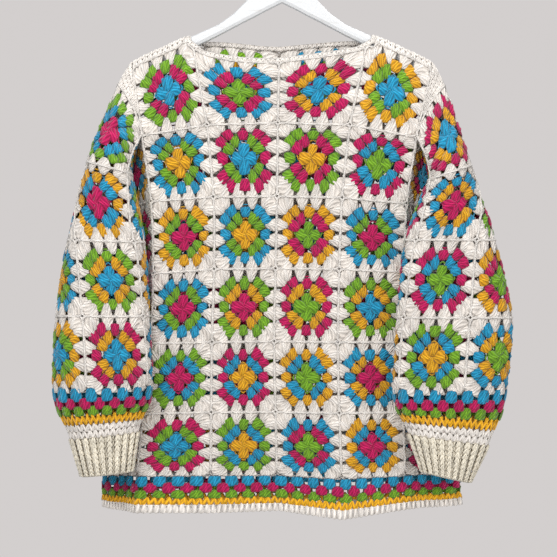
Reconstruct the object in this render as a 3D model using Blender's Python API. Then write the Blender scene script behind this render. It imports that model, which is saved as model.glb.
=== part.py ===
"""Crochet granny-square sweater hanging on a two-arm hanger.

The front and back are sheets of square blocks, the sleeves are tubes of four blocks round, and the
stripes, cuffs, hem edge and neckband are bands.  Every piece is a wall of worked yarn.  X runs to the
right, +Y to the back and +Z up.  The origin is the inside top of the hook, where the hanger is held.
Tables are in millimetres, and a drop is a distance below the origin.
"""

import math
from collections import namedtuple

import bmesh
import bpy
from mathutils import Vector

MM = 0.001

# Driving sizes, in millimetres
WALL = 3.0
SEAM = 0.3
ARMHOLE_SEAM = 0.6
PILLOW = 1.2
BLOCK_STEPS = 4
SIDE_DEPTH = 8.0
BAND_HEIGHT = 6.0
NECK_SEAM = 0.5
NECK_SMOOTHING = 2

HANGER_HALF_THICK = 6.0
REST_GAP = 0.8
RIDGE_RADIUS = HANGER_HALF_THICK + REST_GAP + WALL
RIDGE_SHARE = 0.12
WRAP_SHARE = 0.03

CUFF_RIBS = 22
RIB_POINTS = 4
RIB_HEIGHT = 1.6
RING_SQUARENESS = 2.3
HEAD_PUFF = 34.0
HEAD_REACH = 105.0
HEAD_LEAN = 0.8
PROBE = 0.004

WIRE = 4.0
HOOK_INNER = 17.0
HOOK_TIP_ANGLE = 200.0
HOOK_END_ANGLE = -75.0
HOOK_STEP_ANGLE = 12.5
HOOK_TURN_STEPS = 6

# The front and back, by block line from the yoke seam (0) to the end of the blocks (5) and the hem (6)
Across = namedtuple("Across", "left_side seam_1 seam_2 middle seam_4 seam_5 right_side")
BODY_LINES = 5
HEM_LINE = 6
STRIPES_END = 5.8

FRONT_X = [
    Across(-222, -204, -105, -6, 93, 200, 219),
    Across(-221, -183, -96, -7, 84, 174, 215),
    Across(-226, -180, -95, -9, 80, 170, 219),
    Across(-236, -184, -98, -11, 78, 168, 228),
    Across(-246, -194, -99, -9, 80, 169, 238),
    Across(-254, -203, -100, -7, 83, 172, 250),
    Across(-255, -207, -100, -5, 84, 175, 256),
]
FRONT_DROP = [
    Across(318, 277, 262, 259, 262, 279, 320),
    Across(376, 369, 363, 362, 364, 372, 378),
    Across(476, 470, 464, 463, 464, 468, 474),
    Across(572, 568, 566, 565, 566, 566, 570),
    Across(668, 666, 664, 664, 665, 664, 666),
    Across(755, 754, 753, 753, 757, 753, 753),
    Across(801, 806, 806, 803, 814, 801, 798),
]
FRONT_DEPTH = [
    Across(SIDE_DEPTH, -30, -30, -29, -30, -30, SIDE_DEPTH),
    Across(SIDE_DEPTH, -33, -34, -31, -34, -33, SIDE_DEPTH),
    Across(SIDE_DEPTH, -33, -36, -30, -36, -34, SIDE_DEPTH),
    Across(SIDE_DEPTH, -34, -36, -30, -38, -34, SIDE_DEPTH),
    Across(SIDE_DEPTH, -34, -35, -30, -41, -34, SIDE_DEPTH),
    Across(SIDE_DEPTH, -33, -34, -29, -44, -33, SIDE_DEPTH),
    Across(SIDE_DEPTH, -32, -33, -28, -47, -32, SIDE_DEPTH),
]
BACK_X = [
    Across(-222, -204, -103, -2, 99, 200, 219),
    Across(-221, -176, -90, 0, 88, 173, 215),
    Across(-226, -162, -82, 0, 80, 160, 219),
    Across(-236, -164, -83, -2, 79, 160, 228),
    Across(-246, -170, -86, -3, 80, 163, 238),
    Across(-254, -176, -89, -3, 84, 170, 250),
    Across(-255, -178, -90, -2, 86, 173, 256),
]
BACK_DROP = [
    Across(318, 277, 266, 263, 266, 279, 320),
    Across(376, 371, 367, 366, 367, 373, 378),
    Across(476, 471, 467, 466, 467, 470, 474),
    Across(572, 569, 567, 566, 567, 568, 570),
    Across(668, 666, 664, 664, 664, 664, 666),
    Across(755, 754, 753, 753, 753, 753, 753),
    Across(801, 804, 805, 804, 804, 801, 798),
]
BACK_DEPTH = [
    Across(SIDE_DEPTH, 18, 20, 20, 20, 18, SIDE_DEPTH),
    Across(SIDE_DEPTH, 22, 25, 20, 25, 22, SIDE_DEPTH),
    Across(SIDE_DEPTH, 24, 20, 25, 20, 24, SIDE_DEPTH),
    Across(SIDE_DEPTH, 24, 20, 26, 20, 24, SIDE_DEPTH),
    Across(SIDE_DEPTH, 24, 21, 26, 21, 24, SIDE_DEPTH),
    Across(SIDE_DEPTH, 23, 20, 25, 20, 23, SIDE_DEPTH),
    Across(SIDE_DEPTH, 23, 20, 25, 20, 23, SIDE_DEPTH),
]
SIDE_COLUMNS = 6

# The yokes: four blocks across, from the shoulder ridge and neckline down to line 0
YOKE_COLUMNS = 4
YOKE_TOP_X = (-211, -112, -4, 108, 211)
YOKE_ROWS = (0.0, 0.04, 0.08, 0.12, 0.28, 0.46, 0.64, 0.82, 1.0)
NECK_START = 0.75
NECK_END = YOKE_COLUMNS - NECK_START
NeckPoint = namedtuple("NeckPoint", "x front back")
NECKLINE = [
    NeckPoint(-134, 144, 143),
    NeckPoint(-112, 162, 149),
    NeckPoint(-71, 171, 152),
    NeckPoint(-34, 174, 157),
    NeckPoint(-4, 174, 158.5),
    NeckPoint(48, 167, 153.5),
    NeckPoint(80, 162, 150),
    NeckPoint(108, 156, 148),
    NeckPoint(131, 143, 142),
]
FRONT_NECK_SWELL = 16.0
BACK_NECK_SWELL = 6.0

# The hanger's arm, from its middle to its tip
Arm = namedtuple("Arm", "half_x top bottom")
HANGER = [
    Arm(0, 48, 88),
    Arm(10, 49, 93),
    Arm(22, 56, 99),
    Arm(38, 71, 107.5),
    Arm(53, 87, 115),
    Arm(69, 103, 123.5),
    Arm(90, 118, 134.6),
    Arm(128, 135, 153.5),
    Arm(157, 148, 167),
    Arm(187, 161.5, 180),
    Arm(200, 168, 185),
    Arm(207, 175, 184),
]
SHOULDER_TIP_DROP = 170.2

# The sleeves, by block line from 1, with out and in seen from the body's middle.  Turn is where the front
# block's middle lies round the ring, and share is the part of the ring that this block takes.
Ring = namedtuple("Ring", "out_x out_drop in_x in_drop back_drop depth half_depth turn share")
LEFT_RINGS = [
    Ring(271, 315, 210, 332, 26, -45, 35, -118, 0.34),
    Ring(297, 424, 192, 427, 8, -50, 41, -90, 0.28),
    Ring(313, 529, 185, 529, 0, -56, 42, -76, 0.25),
    Ring(316, 634, 182, 631, 0, -60, 39, -71, 0.25),
    Ring(295, 694, 199, 684, 0, -58, 29, -71, 0.25),
    Ring(277, 752, 209, 745, 0, -58, 22, -71, 0.25),
]
RIGHT_RINGS = [
    Ring(262, 320, 204, 341, 26, -48, 33, -105, 0.34),
    Ring(295, 424, 171, 424, 8, -54, 33, -85, 0.27),
    Ring(318, 531, 160, 531, 0, -60, 31, -73, 0.25),
    Ring(309, 636, 155, 636, 0, -62, 30, -72, 0.25),
    Ring(287, 702, 174, 687, 0, -60, 25, -72, 0.25),
    Ring(259, 760, 195, 745, 0, -60, 21, -72, 0.25),
]
SLEEVE_COLUMNS = 4
SLEEVE_LINES = 4
CUFF_START = 5
CUFF_END = 6
# Where the sleeve's own round meets the armhole: blocks round the sleeve against the armhole's stretches
HeadPoint = namedtuple("HeadPoint", "column stretch")
HEAD = [
    HeadPoint(0, 0),
    HeadPoint(1, 0.42),
    HeadPoint(1.5, 1),
    HeadPoint(2.5, 2),
    HeadPoint(3.5, 3),
    HeadPoint(4, 4),
]

Finish = namedtuple("Finish", "colour roughness metallic")
WHITE_YARN = Finish((0.84, 0.79, 0.72), 0.9, 0.0)
CREAM_YARN = Finish((0.86, 0.78, 0.60), 0.9, 0.0)
BLUE_YARN = Finish((0.03, 0.35, 0.60), 0.9, 0.0)
PAINTED_WOOD = Finish((0.85, 0.85, 0.83), 0.45, 0.0)
BRIGHT_METAL = Finish((0.75, 0.75, 0.76), 0.3, 1.0)


def lerp(start, end, share):
    return start + (end - start) * share


def ease(share):
    return math.sin(0.5 * math.pi * min(max(share, 0.0), 1.0))


def read_line(points, value):
    """Straight interpolation through (position, reading) pairs."""
    if value <= points[0][0]:
        return points[0][1]
    for (low, start), (high, end) in zip(points, points[1:]):
        if value <= high:
            return lerp(start, end, (value - low) / (high - low))
    return points[-1][1]


def read_curve(values, position):
    """Smooth curve through evenly spaced values, read at a position counted in values."""
    last = len(values) - 1
    position = min(max(position, 0.0), float(last))
    index = min(int(position), last - 1)
    share = position - index
    before = values[max(index - 1, 0)]
    start, end = values[index], values[index + 1]
    after = values[min(index + 2, last)]
    slope_in, slope_out = 0.5 * (end - before), 0.5 * (after - start)
    cube, square = share ** 3, share ** 2
    return ((2 * cube - 3 * square + 1) * start + (cube - 2 * square + share) * slope_in
            + (3 * square - 2 * cube) * end + (cube - square) * slope_out)


def read_across(table, line, column):
    """A table's value on a block line at a column, straight between the seams."""
    index = min(int(column), SIDE_COLUMNS - 1)
    start = read_curve([row[index] for row in table], line)
    end = read_curve([row[index + 1] for row in table], line)
    return lerp(start, end, column - index)


def side_turn(share):
    """How a side column turns back: steep beside its seam, level halfway, steep again at the side."""
    return share + math.sin(2 * math.pi * share) / (2 * math.pi)


def panel_point(tables, line, column):
    """A point of the front or back sheet, with column 0 at the left side of the front view."""
    across_x, across_drop, across_depth = tables
    if column < 1 or column > SIDE_COLUMNS - 1:
        seam = 1 if column < 1 else SIDE_COLUMNS - 1
        turned = side_turn(abs(column - seam))
        depth = lerp(read_across(across_depth, line, seam), SIDE_DEPTH, turned)
    else:
        depth = read_across(across_depth, line, column)
    return Vector((read_across(across_x, line, column), depth, -read_across(across_drop, line, column)))


FRONT = (FRONT_X, FRONT_DROP, FRONT_DEPTH)
BACK = (BACK_X, BACK_DROP, BACK_DEPTH)


def front_point(column, line):
    return panel_point(FRONT, line, column)


def back_point(column, line):
    """The back sheet, whose columns run the other way because it is seen from behind."""
    return panel_point(BACK, line, SIDE_COLUMNS - column)


def round_point(column, line):
    """A point of the whole body's round: the front's six columns, then the back's six."""
    column = column % (2 * SIDE_COLUMNS)
    if column < SIDE_COLUMNS:
        return front_point(column, line)
    return back_point(column - SIDE_COLUMNS, line)


def ridge_drop(x):
    """Top of the cloth over the hanger's arm."""
    lift = RIDGE_RADIUS - HANGER_HALF_THICK
    ridge = [(arm.half_x, arm.top - lift) for arm in HANGER[:-1]]
    return read_line(ridge + [(-YOKE_TOP_X[0], SHOULDER_TIP_DROP)], abs(x))


def wrap_start(column):
    """Angle round the hanger at which the cloth's top edge lies: 0 on the ridge, 90 on its face."""
    inwards = min(column - NECK_START, NECK_END - column)
    turned = min(max(inwards / WRAP_SHARE, 0.0), 1.0)
    return round(90.0 * turned, 3)


def yoke_point(face, column, row):
    """A point of a yoke; face is -1 in front and 1 behind, and columns run left to right in front view."""
    top_x = read_line(list(enumerate(YOKE_TOP_X)), column)
    tables = FRONT if face < 0 else BACK
    bottom = panel_point(tables, 0, column + 1)
    start = wrap_start(column)
    arc = RIDGE_SHARE * (1 - start / 90.0)
    if start < 90.0 and row <= arc:
        angle = math.radians(lerp(start, 90.0, row / arc))
        drop = ridge_drop(top_x) + RIDGE_RADIUS * (1 - math.cos(angle))
        return Vector((top_x, face * RIDGE_RADIUS * math.sin(angle), -drop))
    share = (row - arc) / (1 - arc)
    drop = ridge_drop(top_x) + RIDGE_RADIUS
    depth = RIDGE_RADIUS
    if start >= 90.0:
        drop = read_line([(point.x, point.front if face < 0 else point.back) for point in NECKLINE], top_x)
        swell = FRONT_NECK_SWELL if face < 0 else BACK_NECK_SWELL
        depth += swell * math.sin(math.pi * (column - NECK_START) / (NECK_END - NECK_START)) ** 0.8
    return Vector((lerp(top_x, bottom.x, share), lerp(face * depth, bottom.y, ease(share)),
                   lerp(-drop, bottom.z, share)))


def armhole(side):
    """The armhole's four stretches: down the front yoke, under the arm to the side and on to the back
    seam, and up the back yoke to the shoulder tip."""
    edge = 0 if side < 0 else YOKE_COLUMNS
    steps = (0.0, 0.25, 0.5, 0.75, 1.0)
    front = [yoke_point(-1, edge, row) for row in YOKE_ROWS]
    seam, end = (1, 0) if side < 0 else (SIDE_COLUMNS - 1, SIDE_COLUMNS)
    under_front = [panel_point(FRONT, 0, lerp(seam, end, share)) for share in steps]
    under_back = [panel_point(BACK, 0, lerp(end, seam, share)) for share in steps]
    back = [yoke_point(1, edge, row) for row in reversed(YOKE_ROWS)]
    return front, under_front, under_back, back


def read_path(points, share):
    """The point at a share of a path's length."""
    lengths = [0.0]
    for start, end in zip(points, points[1:]):
        lengths.append(lengths[-1] + (end - start).length)
    wanted = min(max(share, 0.0), 1.0) * lengths[-1]
    for index, length in enumerate(lengths[1:]):
        if wanted <= length:
            step = length - lengths[index]
            return points[index].lerp(points[index + 1], (wanted - lengths[index]) / step)
    return points[-1].copy()


def sleeve_ring(rings, line):
    columns = zip(*rings)
    return Ring(*[read_curve(values, line - 1) for values in columns])


def ring_path(ring):
    """A sleeve's round as a path that starts at the middle of the front block."""
    points = []
    half_width = 0.5 * (ring.out_x - ring.in_x)
    steps = 72
    for step in range(steps + 1):
        angle = math.radians(ring.turn + 360.0 * step / steps)
        across = math.copysign(abs(math.cos(angle)) ** (2 / RING_SQUARENESS), math.cos(angle))
        deep = math.copysign(abs(math.sin(angle)) ** (2 / RING_SQUARENESS), math.sin(angle))
        drop = lerp(ring.out_drop, ring.in_drop, 0.5 * (1 + across)) + ring.back_drop * max(deep, 0.0)
        x = -0.5 * (ring.out_x + ring.in_x) + half_width * across
        points.append(Vector((x, ring.depth + ring.half_depth * deep, -drop)))
    return points


def ring_share(ring, column):
    """Where a column's place lies round the ring, from the middle of the front block."""
    column = column % SLEEVE_COLUMNS
    if column <= 1:
        return (ring.share * (column - 0.5)) % 1.0
    return ring.share * 0.5 + (column - 1) * (1 - ring.share) / (SLEEVE_COLUMNS - 1)


def head_away(stretch):
    """The level way in which a left sleeve leaves the armhole, at a place along its stretches."""
    return Vector((-1, -HEAD_LEAN * math.sin(0.5 * math.pi * stretch), 0)).normalized()


class Sleeve:
    """A sleeve as a tube, made as a left one; the right one is turned over in X."""

    def __init__(self, side, rings):
        self.side = side
        self.rings = rings
        self.hole = [[Vector((-abs(point.x), point.y, point.z)) for point in stretch]
                     for stretch in armhole(side)]
        self.paths = {}

    def round_at(self, column, line):
        if line not in self.paths:
            ring = sleeve_ring(self.rings, line)
            self.paths[line] = (ring, ring_path(ring))
        ring, path = self.paths[line]
        return read_path(path, ring_share(ring, column))

    def seam_at(self, stretch, share):
        """The armhole's edge: by length along a yoke, and step by step along the sheets' own points."""
        points = self.hole[stretch]
        if stretch in (0, 3):
            return read_path(points, share)
        index = min(int(share * (len(points) - 1)), len(points) - 2)
        return points[index].lerp(points[index + 1], share * (len(points) - 1) - index)

    def head_at(self, column, line):
        """Between the armhole and line 1, a smooth curve that leaves the armhole outwards."""
        place = read_line(HEAD, column % SLEEVE_COLUMNS)
        stretch = min(int(place), len(self.hole) - 1)
        seam = self.seam_at(stretch, place - stretch)
        away = head_away(place)
        start = seam + away * ARMHOLE_SEAM
        end = self.round_at(column, 1)
        reach = min((end - start).length / HEAD_REACH, 1.0)
        slope_end = (self.round_at(column, 1.1) - end) * 10 * reach
        slope_start = (end - start) * 0.7 + away * HEAD_PUFF * reach
        cube, square = line ** 3, line ** 2
        return ((2 * cube - 3 * square + 1) * start + (cube - 2 * square + line) * slope_start
                + (3 * square - 2 * cube) * end + (cube - square) * slope_end)

    def point(self, column, line):
        if self.side > 0:
            column = SLEEVE_COLUMNS - column
        place = self.head_at(column, line) if line < 1 else self.round_at(column, line)
        return Vector((place.x * -self.side, place.y, place.z))


def pillow(column, row):
    """A block's raised middle over its sunken seams."""
    return PILLOW * math.sqrt(abs(math.sin(math.pi * column) * math.sin(math.pi * row)))


def rib(column, row):
    """Raised ribs round a cuff, from one side of a block column to the other."""
    turns = column / SLEEVE_COLUMNS * CUFF_RIBS
    return RIB_HEIGHT * (0.5 + 0.5 * math.cos(2 * math.pi * turns))


def flat(column, row):
    return 0.0


def steps_between(start, end, count):
    return [lerp(start, end, index / count) for index in range(count + 1)]


def surface_normal(surface, column, row):
    """Outward normal of a surface that, seen from outside, runs to the right and down."""
    down = surface(column, row + PROBE) - surface(column, max(row - PROBE, 0.0))
    across = surface(column + PROBE, row) - surface(column - PROBE, row)
    return down.cross(across).normalized()


def without(normal, direction):
    """A normal with its part along a direction taken out, so that a piece's edge stays flat there."""
    return (normal - direction * normal.dot(direction)).normalized()


def wall_mesh(name, outer, inner, closed):
    """One closed wall from two matching grids of points, in millimetres."""
    rows, columns = len(outer), len(outer[0])
    mesh = bpy.data.meshes.new(name)
    body = bmesh.new()
    grids = [[[body.verts.new(point * MM) for point in line] for line in grid] for grid in (outer, inner)]
    spans = columns if closed else columns - 1
    for row in range(rows - 1):
        for column in range(spans):
            beside = (column + 1) % columns
            for grid, turned in zip(grids, (False, True)):
                corners = [grid[row][column], grid[row + 1][column], grid[row + 1][beside], grid[row][beside]]
                body.faces.new(reversed(corners) if turned else corners)
    rim = [(0, column, 0, (column + 1) % columns) for column in range(spans)]
    rim += [(rows - 1, (column + 1) % columns, rows - 1, column) for column in range(spans)]
    if not closed:
        rim += [(row + 1, 0, row, 0) for row in range(rows - 1)]
        rim += [(row, columns - 1, row + 1, columns - 1) for row in range(rows - 1)]
    for first_row, first_column, next_row, next_column in rim:
        body.faces.new((grids[0][first_row][first_column], grids[0][next_row][next_column],
                        grids[1][next_row][next_column], grids[1][first_row][first_column]))
    body.to_mesh(mesh)
    body.free()
    return mesh


def add_material(node, finish):
    material = bpy.data.materials.new(node.name + "_finish")
    material.use_nodes = True
    shader = material.node_tree.nodes["Principled BSDF"]
    shader.inputs["Base Color"].default_value = (*finish.colour, 1.0)
    shader.inputs["Roughness"].default_value = finish.roughness
    shader.inputs["Metallic"].default_value = finish.metallic
    node.data.materials.append(material)


def add_node(group, name, mesh, finish):
    node = bpy.data.objects.new(name, mesh)
    group.objects.link(node)
    add_material(node, finish)
    mesh.shade_smooth()
    mesh.set_sharp_from_angle(angle=math.radians(40))
    return node


def add_wall(group, name, surface, columns, rows, finish, normal=surface_normal, relief=pillow, closed=False):
    """A worked piece: a surface with relief outside and a plain inside, one wall away."""
    base = [[surface(column, row) for column in columns] for row in rows]
    normals = [[normal(surface, column, row) for column in columns] for row in rows]
    outer = [[point + facing * relief(column, row) for point, facing, column in zip(line, facings, columns)]
             for line, facings, row in zip(base, normals, rows)]
    inner = [[point - facing * WALL for point, facing in zip(line, facings)]
             for line, facings in zip(base, normals)]
    return add_node(group, name, wall_mesh(name, outer, inner, closed), finish)


def panel_normal(surface, column, row):
    """Square to the front or back, level at the seams above and below, and straight out at the sides."""
    normal = surface_normal(surface, min(max(column, PROBE), SIDE_COLUMNS - PROBE), row)
    if column in (0, SIDE_COLUMNS):
        normal = without(normal, Vector((0, 1, 0)))
    if row < PROBE or row > BODY_LINES - PROBE:
        normal = without(normal, Vector((0, 0, 1)))
    return normal


def add_body(group):
    """Rows 2 to 6 of the front and back, which meet at the sides."""
    columns = steps_between(0, SIDE_COLUMNS, SIDE_COLUMNS * BLOCK_STEPS)
    margin = 0.5 * SEAM / 100.0
    rows = steps_between(margin, BODY_LINES - margin, BODY_LINES * BLOCK_STEPS)
    for name, point, face in (("front_body", front_point, -1), ("back_body", back_point, 1)):
        half_gap = Vector((0, face * 0.5 * SEAM, 0))
        add_wall(group, name, lambda column, row, point=point, shift=half_gap: point(column, row) + shift,
                 columns, rows, WHITE_YARN, normal=panel_normal)


def yoke_columns():
    """Quarter blocks, with closer columns where the neck's edge wraps over the hanger."""
    wraps = [NECK_START + WRAP_SHARE * share for share in (1 / 3, 2 / 3, 1)]
    columns = steps_between(0, YOKE_COLUMNS, YOKE_COLUMNS * BLOCK_STEPS)
    return sorted(columns + wraps + [YOKE_COLUMNS - place for place in wraps])


def yoke_surface(face):
    """A yoke's surface, seen from outside, kept clear of the other yoke and of the sheet below."""
    def surface(column, row):
        if face > 0:
            column = YOKE_COLUMNS - column
        margin = 0.5 * SEAM / 100.0
        return yoke_point(face, column, row * (1 - margin)) + Vector((0, face * 0.5 * SEAM, 0))
    return surface


def yoke_normal(surface, column, row):
    """Square to a yoke; round the hanger it points away from the arm, which slopes down to its tip."""
    start = wrap_start(column)
    arc = RIDGE_SHARE * (1 - start / 90.0)
    place = surface(column, row)
    face = math.copysign(1.0, place.y)
    if row <= arc and start < 90.0:
        angle = math.radians(lerp(start, 90.0, row / arc))
        fall = 0.5 * (ridge_drop(abs(place.x) + 1) - ridge_drop(abs(place.x) - 1))
        fall = math.copysign(fall, place.x) * math.cos(angle)
        return Vector((fall, face * math.sin(angle), math.cos(angle))).normalized()
    above = row - PROBE if row > arc + PROBE else row
    down = surface(column, min(row + PROBE, 1.0)) - surface(column, above)
    near_wrap = NECK_START - PROBE < min(column, YOKE_COLUMNS - column) < NECK_START + 2 * WRAP_SHARE
    across = Vector((-face, 0, 0))
    if not near_wrap:
        across = surface(column + PROBE, row) - surface(column - PROBE, row)
    normal = down.cross(across).normalized()
    if row == 1.0:
        normal = without(normal, Vector((0, 0, 1)))
    return normal


def add_yokes(group):
    """Row 1 of the front and back, which meet along the shoulder ridge."""
    for name, face in (("front_yoke", -1), ("back_yoke", 1)):
        add_wall(group, name, yoke_surface(face), yoke_columns(), YOKE_ROWS, WHITE_YARN, normal=yoke_normal)


def neck_frames(face):
    """Along a yoke's neck edge: its place, its outward normal and the way towards the neck."""
    surface = yoke_surface(face)
    columns = [column for column in yoke_columns() if NECK_START <= column <= NECK_END]
    edge = [surface(column, 0.0) for column in columns]
    last = len(edge) - 1
    frames = []
    for index, (column, place) in enumerate(zip(columns, edge)):
        normal = yoke_normal(surface, column, 0.0)
        along = edge[min(index + 1, last)] - edge[max(index - 1, 0)]
        if index in (0, last):
            along = Vector((0, face if index == 0 else -face, 0))
        away = normal.cross(along).normalized()
        frames.append([place, normal, away])
    for _ in range(NECK_SMOOTHING):
        ways = [frame[2] for frame in frames]
        for index in range(1, last):
            mixed = ways[index - 1] + 2 * ways[index] + ways[index + 1]
            frames[index][2] = without(mixed, frames[index][1])
    return frames


def add_neckband(group):
    """Plain edging rows on the neck's edge, in a front and a back half that meet on the hanger."""
    for name, face in (("neckband_front", -1), ("neckband_back", 1)):
        frames = neck_frames(face)
        heights = (NECK_SEAM, 0.5 * BAND_HEIGHT, BAND_HEIGHT)
        outer = [[place + away * height for place, normal, away in frames] for height in reversed(heights)]
        inner = [[place + away * height - normal * WALL for place, normal, away in frames]
                 for height in reversed(heights)]
        add_node(group, name, wall_mesh(name, outer, inner, False), WHITE_YARN)


def hem_normal(surface, column, row):
    """Square to the hem, level, and straight out at the sides."""
    normal = without(surface_normal(surface, column, row), Vector((0, 0, 1)))
    if column % SIDE_COLUMNS == 0:
        normal = without(normal, Vector((0, 1, 0)))
    return normal


def add_hem(group):
    """Striped rows and a plain edge that run right round the body."""
    count = 2 * SIDE_COLUMNS * BLOCK_STEPS
    columns = [2 * SIDE_COLUMNS * index / count for index in range(count)]
    margin = 0.5 * SEAM / 50.0
    stripes = steps_between(BODY_LINES + margin, STRIPES_END - margin, 3)
    edge = steps_between(STRIPES_END + margin, HEM_LINE, 1)
    for name, rows, finish in (("hem_stripes", stripes, BLUE_YARN), ("hem_edge", edge, WHITE_YARN)):
        add_wall(group, name, round_point, columns, rows, finish, normal=hem_normal, relief=flat, closed=True)


def sleeve_normal(surface, column, row):
    """Square to a sleeve; flat against the yokes at its head and in the ring's own plane at its bands."""
    if row == 0.0:
        side = math.copysign(1.0, surface(0, 0).x)
        normal = surface_normal(surface, column, PROBE)
        place = read_line(HEAD, (column if side < 0 else SLEEVE_COLUMNS - column) % SLEEVE_COLUMNS)
        away = head_away(place)
        return without(normal, Vector((-away.x * side, away.y, 0)))
    normal = surface_normal(surface, column, row)
    if row > SLEEVE_LINES - PROBE:
        ring = [surface(place, row) for place in range(SLEEVE_COLUMNS)]
        normal = without(normal, (ring[2] - ring[0]).cross(ring[3] - ring[1]).normalized())
    return normal


def add_sleeves(group):
    """Each sleeve's blocks, stripes and ribbed cuff."""
    for name, side, rings in (("left", -1, LEFT_RINGS), ("right", 1, RIGHT_RINGS)):
        sleeve = Sleeve(side, rings)
        count = SLEEVE_COLUMNS * BLOCK_STEPS
        columns = [SLEEVE_COLUMNS * index / count for index in range(count)]
        rib_count = CUFF_RIBS * RIB_POINTS
        ribs = [SLEEVE_COLUMNS * index / rib_count for index in range(rib_count)]
        margin = 0.5 * SEAM / 60.0
        blocks = steps_between(0, SLEEVE_LINES - margin, SLEEVE_LINES * BLOCK_STEPS)
        stripes = steps_between(SLEEVE_LINES + margin, CUFF_START - margin, 3)
        cuff = steps_between(CUFF_START + margin, CUFF_END, 2)
        for stem, places, rows, finish, relief in (("sleeve_", columns, blocks, WHITE_YARN, pillow),
                                                   ("sleeve_stripes_", columns, stripes, BLUE_YARN, flat),
                                                   ("cuff_", ribs, cuff, CREAM_YARN, rib)):
            add_wall(group, stem + name, sleeve.point, places, rows, finish, normal=sleeve_normal,
                     relief=relief, closed=True)


def hanger_section(arm, side):
    """A slice of the arm: straight faces with half-round top and bottom."""
    points = []
    for middle, start in ((arm.top, 0), (arm.bottom, 180)):
        height = 0.5 * (arm.bottom - arm.top)
        radius = min(HANGER_HALF_THICK, height)
        centre = middle + radius if start == 0 else middle - radius
        for step in range(5):
            angle = math.radians(start + 45 * step)
            points.append(Vector((side * arm.half_x, HANGER_HALF_THICK * math.cos(angle),
                                  -centre + radius * math.sin(angle))))
    return points


def add_hanger(group):
    """The two-arm hanger as one loft from tip to tip."""
    sections = [hanger_section(arm, -1) for arm in reversed(HANGER)]
    sections += [hanger_section(arm, 1) for arm in HANGER[1:]]
    mesh = bpy.data.meshes.new("hanger_body")
    body = bmesh.new()
    rings = [[body.verts.new(point * MM) for point in section] for section in sections]
    count = len(rings[0])
    for ring, beside in zip(rings, rings[1:]):
        for index in range(count):
            after = (index + 1) % count
            body.faces.new((ring[index], beside[index], beside[after], ring[after]))
    body.faces.new(rings[0])
    body.faces.new(reversed(rings[-1]))
    bmesh.ops.recalc_face_normals(body, faces=body.faces)
    body.to_mesh(mesh)
    body.free()
    add_node(group, "hanger_body", mesh, PAINTED_WOOD)


def hook_route():
    """The wire's middle line: an open loop, a short turn back and the stem down to the hanger."""
    radius = HOOK_INNER + 0.5 * WIRE
    points = []
    steps = round((HOOK_TIP_ANGLE - HOOK_END_ANGLE) / HOOK_STEP_ANGLE)
    for step in range(steps + 1):
        angle = math.radians(lerp(HOOK_TIP_ANGLE, HOOK_END_ANGLE, step / steps))
        points.append(Vector((radius * math.cos(angle), 0, radius * math.sin(angle) - HOOK_INNER)))
    corner = points[-1].copy()
    heading_start = math.radians(HOOK_END_ANGLE - 90)
    turn_radius = corner.x / (1 + math.sin(heading_start))
    for step in range(1, HOOK_TURN_STEPS + 1):
        heading = lerp(heading_start, -0.5 * math.pi, step / HOOK_TURN_STEPS)
        points.append(corner + Vector((turn_radius * (math.sin(heading) - math.sin(heading_start)), 0,
                                       turn_radius * (math.cos(heading_start) - math.cos(heading)))))
    points.append(Vector((0, 0, SEAM - HANGER[0].top)))
    return points


def add_hook(group):
    """The hanger's wire hook."""
    points = hook_route()
    curve = bpy.data.curves.new("hanger_hook", "CURVE")
    curve.dimensions = "3D"
    curve.bevel_depth = 0.5 * WIRE * MM
    curve.bevel_resolution = 2
    curve.use_fill_caps = True
    spline = curve.splines.new("POLY")
    spline.points.add(len(points) - 1)
    for place, point in zip(spline.points, points):
        place.co = (*(point * MM), 1.0)
    node = bpy.data.objects.new("hanger_hook", curve)
    group.objects.link(node)
    add_material(node, BRIGHT_METAL)


def main():
    for node in list(bpy.data.objects):
        bpy.data.objects.remove(node, do_unlink=True)
    group = bpy.data.collections.new("crochet_sweater")
    bpy.context.scene.collection.children.link(group)
    add_yokes(group)
    add_body(group)
    add_neckband(group)
    add_hem(group)
    add_sleeves(group)
    add_hanger(group)
    add_hook(group)


main()
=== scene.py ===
"""Dresses the crochet granny-square sweater and its hanger.

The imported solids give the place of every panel, tube and band.  Each of them is shown as worked yarn:
clusters of three posts laid in squares with real gaps, the squares' white joining rows, striped rows,
ribbed cuffs and plain edges.  The hanger and its hook keep their solids and get their finish here.
The surface tables repeat the solids' own sizes, in millimetres, with drops below the hook's inside top.
Three of them follow the photograph a little closer than the solids do: the neckline behind is higher,
the front's block lines lie further in beside the armholes, and so do the blocks at the sleeves' heads.
"""

from __future__ import annotations

import logging
import math
from collections.abc import Callable
from dataclasses import dataclass
from dataclasses import field
from enum import Enum
from itertools import zip_longest
from typing import NamedTuple

import bpy
import numpy as np
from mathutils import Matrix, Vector

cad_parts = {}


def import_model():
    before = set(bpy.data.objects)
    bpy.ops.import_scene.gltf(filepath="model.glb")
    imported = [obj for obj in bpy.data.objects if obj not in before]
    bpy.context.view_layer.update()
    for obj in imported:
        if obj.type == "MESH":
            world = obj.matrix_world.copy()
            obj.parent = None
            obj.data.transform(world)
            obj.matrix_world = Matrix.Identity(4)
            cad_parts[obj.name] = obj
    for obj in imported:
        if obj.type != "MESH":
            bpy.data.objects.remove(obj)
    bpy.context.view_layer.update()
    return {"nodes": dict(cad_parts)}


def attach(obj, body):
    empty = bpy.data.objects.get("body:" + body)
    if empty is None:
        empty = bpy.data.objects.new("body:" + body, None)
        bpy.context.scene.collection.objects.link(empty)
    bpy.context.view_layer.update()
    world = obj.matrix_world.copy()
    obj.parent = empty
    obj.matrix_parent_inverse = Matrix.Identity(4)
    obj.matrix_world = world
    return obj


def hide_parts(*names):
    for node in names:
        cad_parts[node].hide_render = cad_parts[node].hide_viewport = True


LOG = logging.getLogger("sweater")
MM = 0.001
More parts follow.
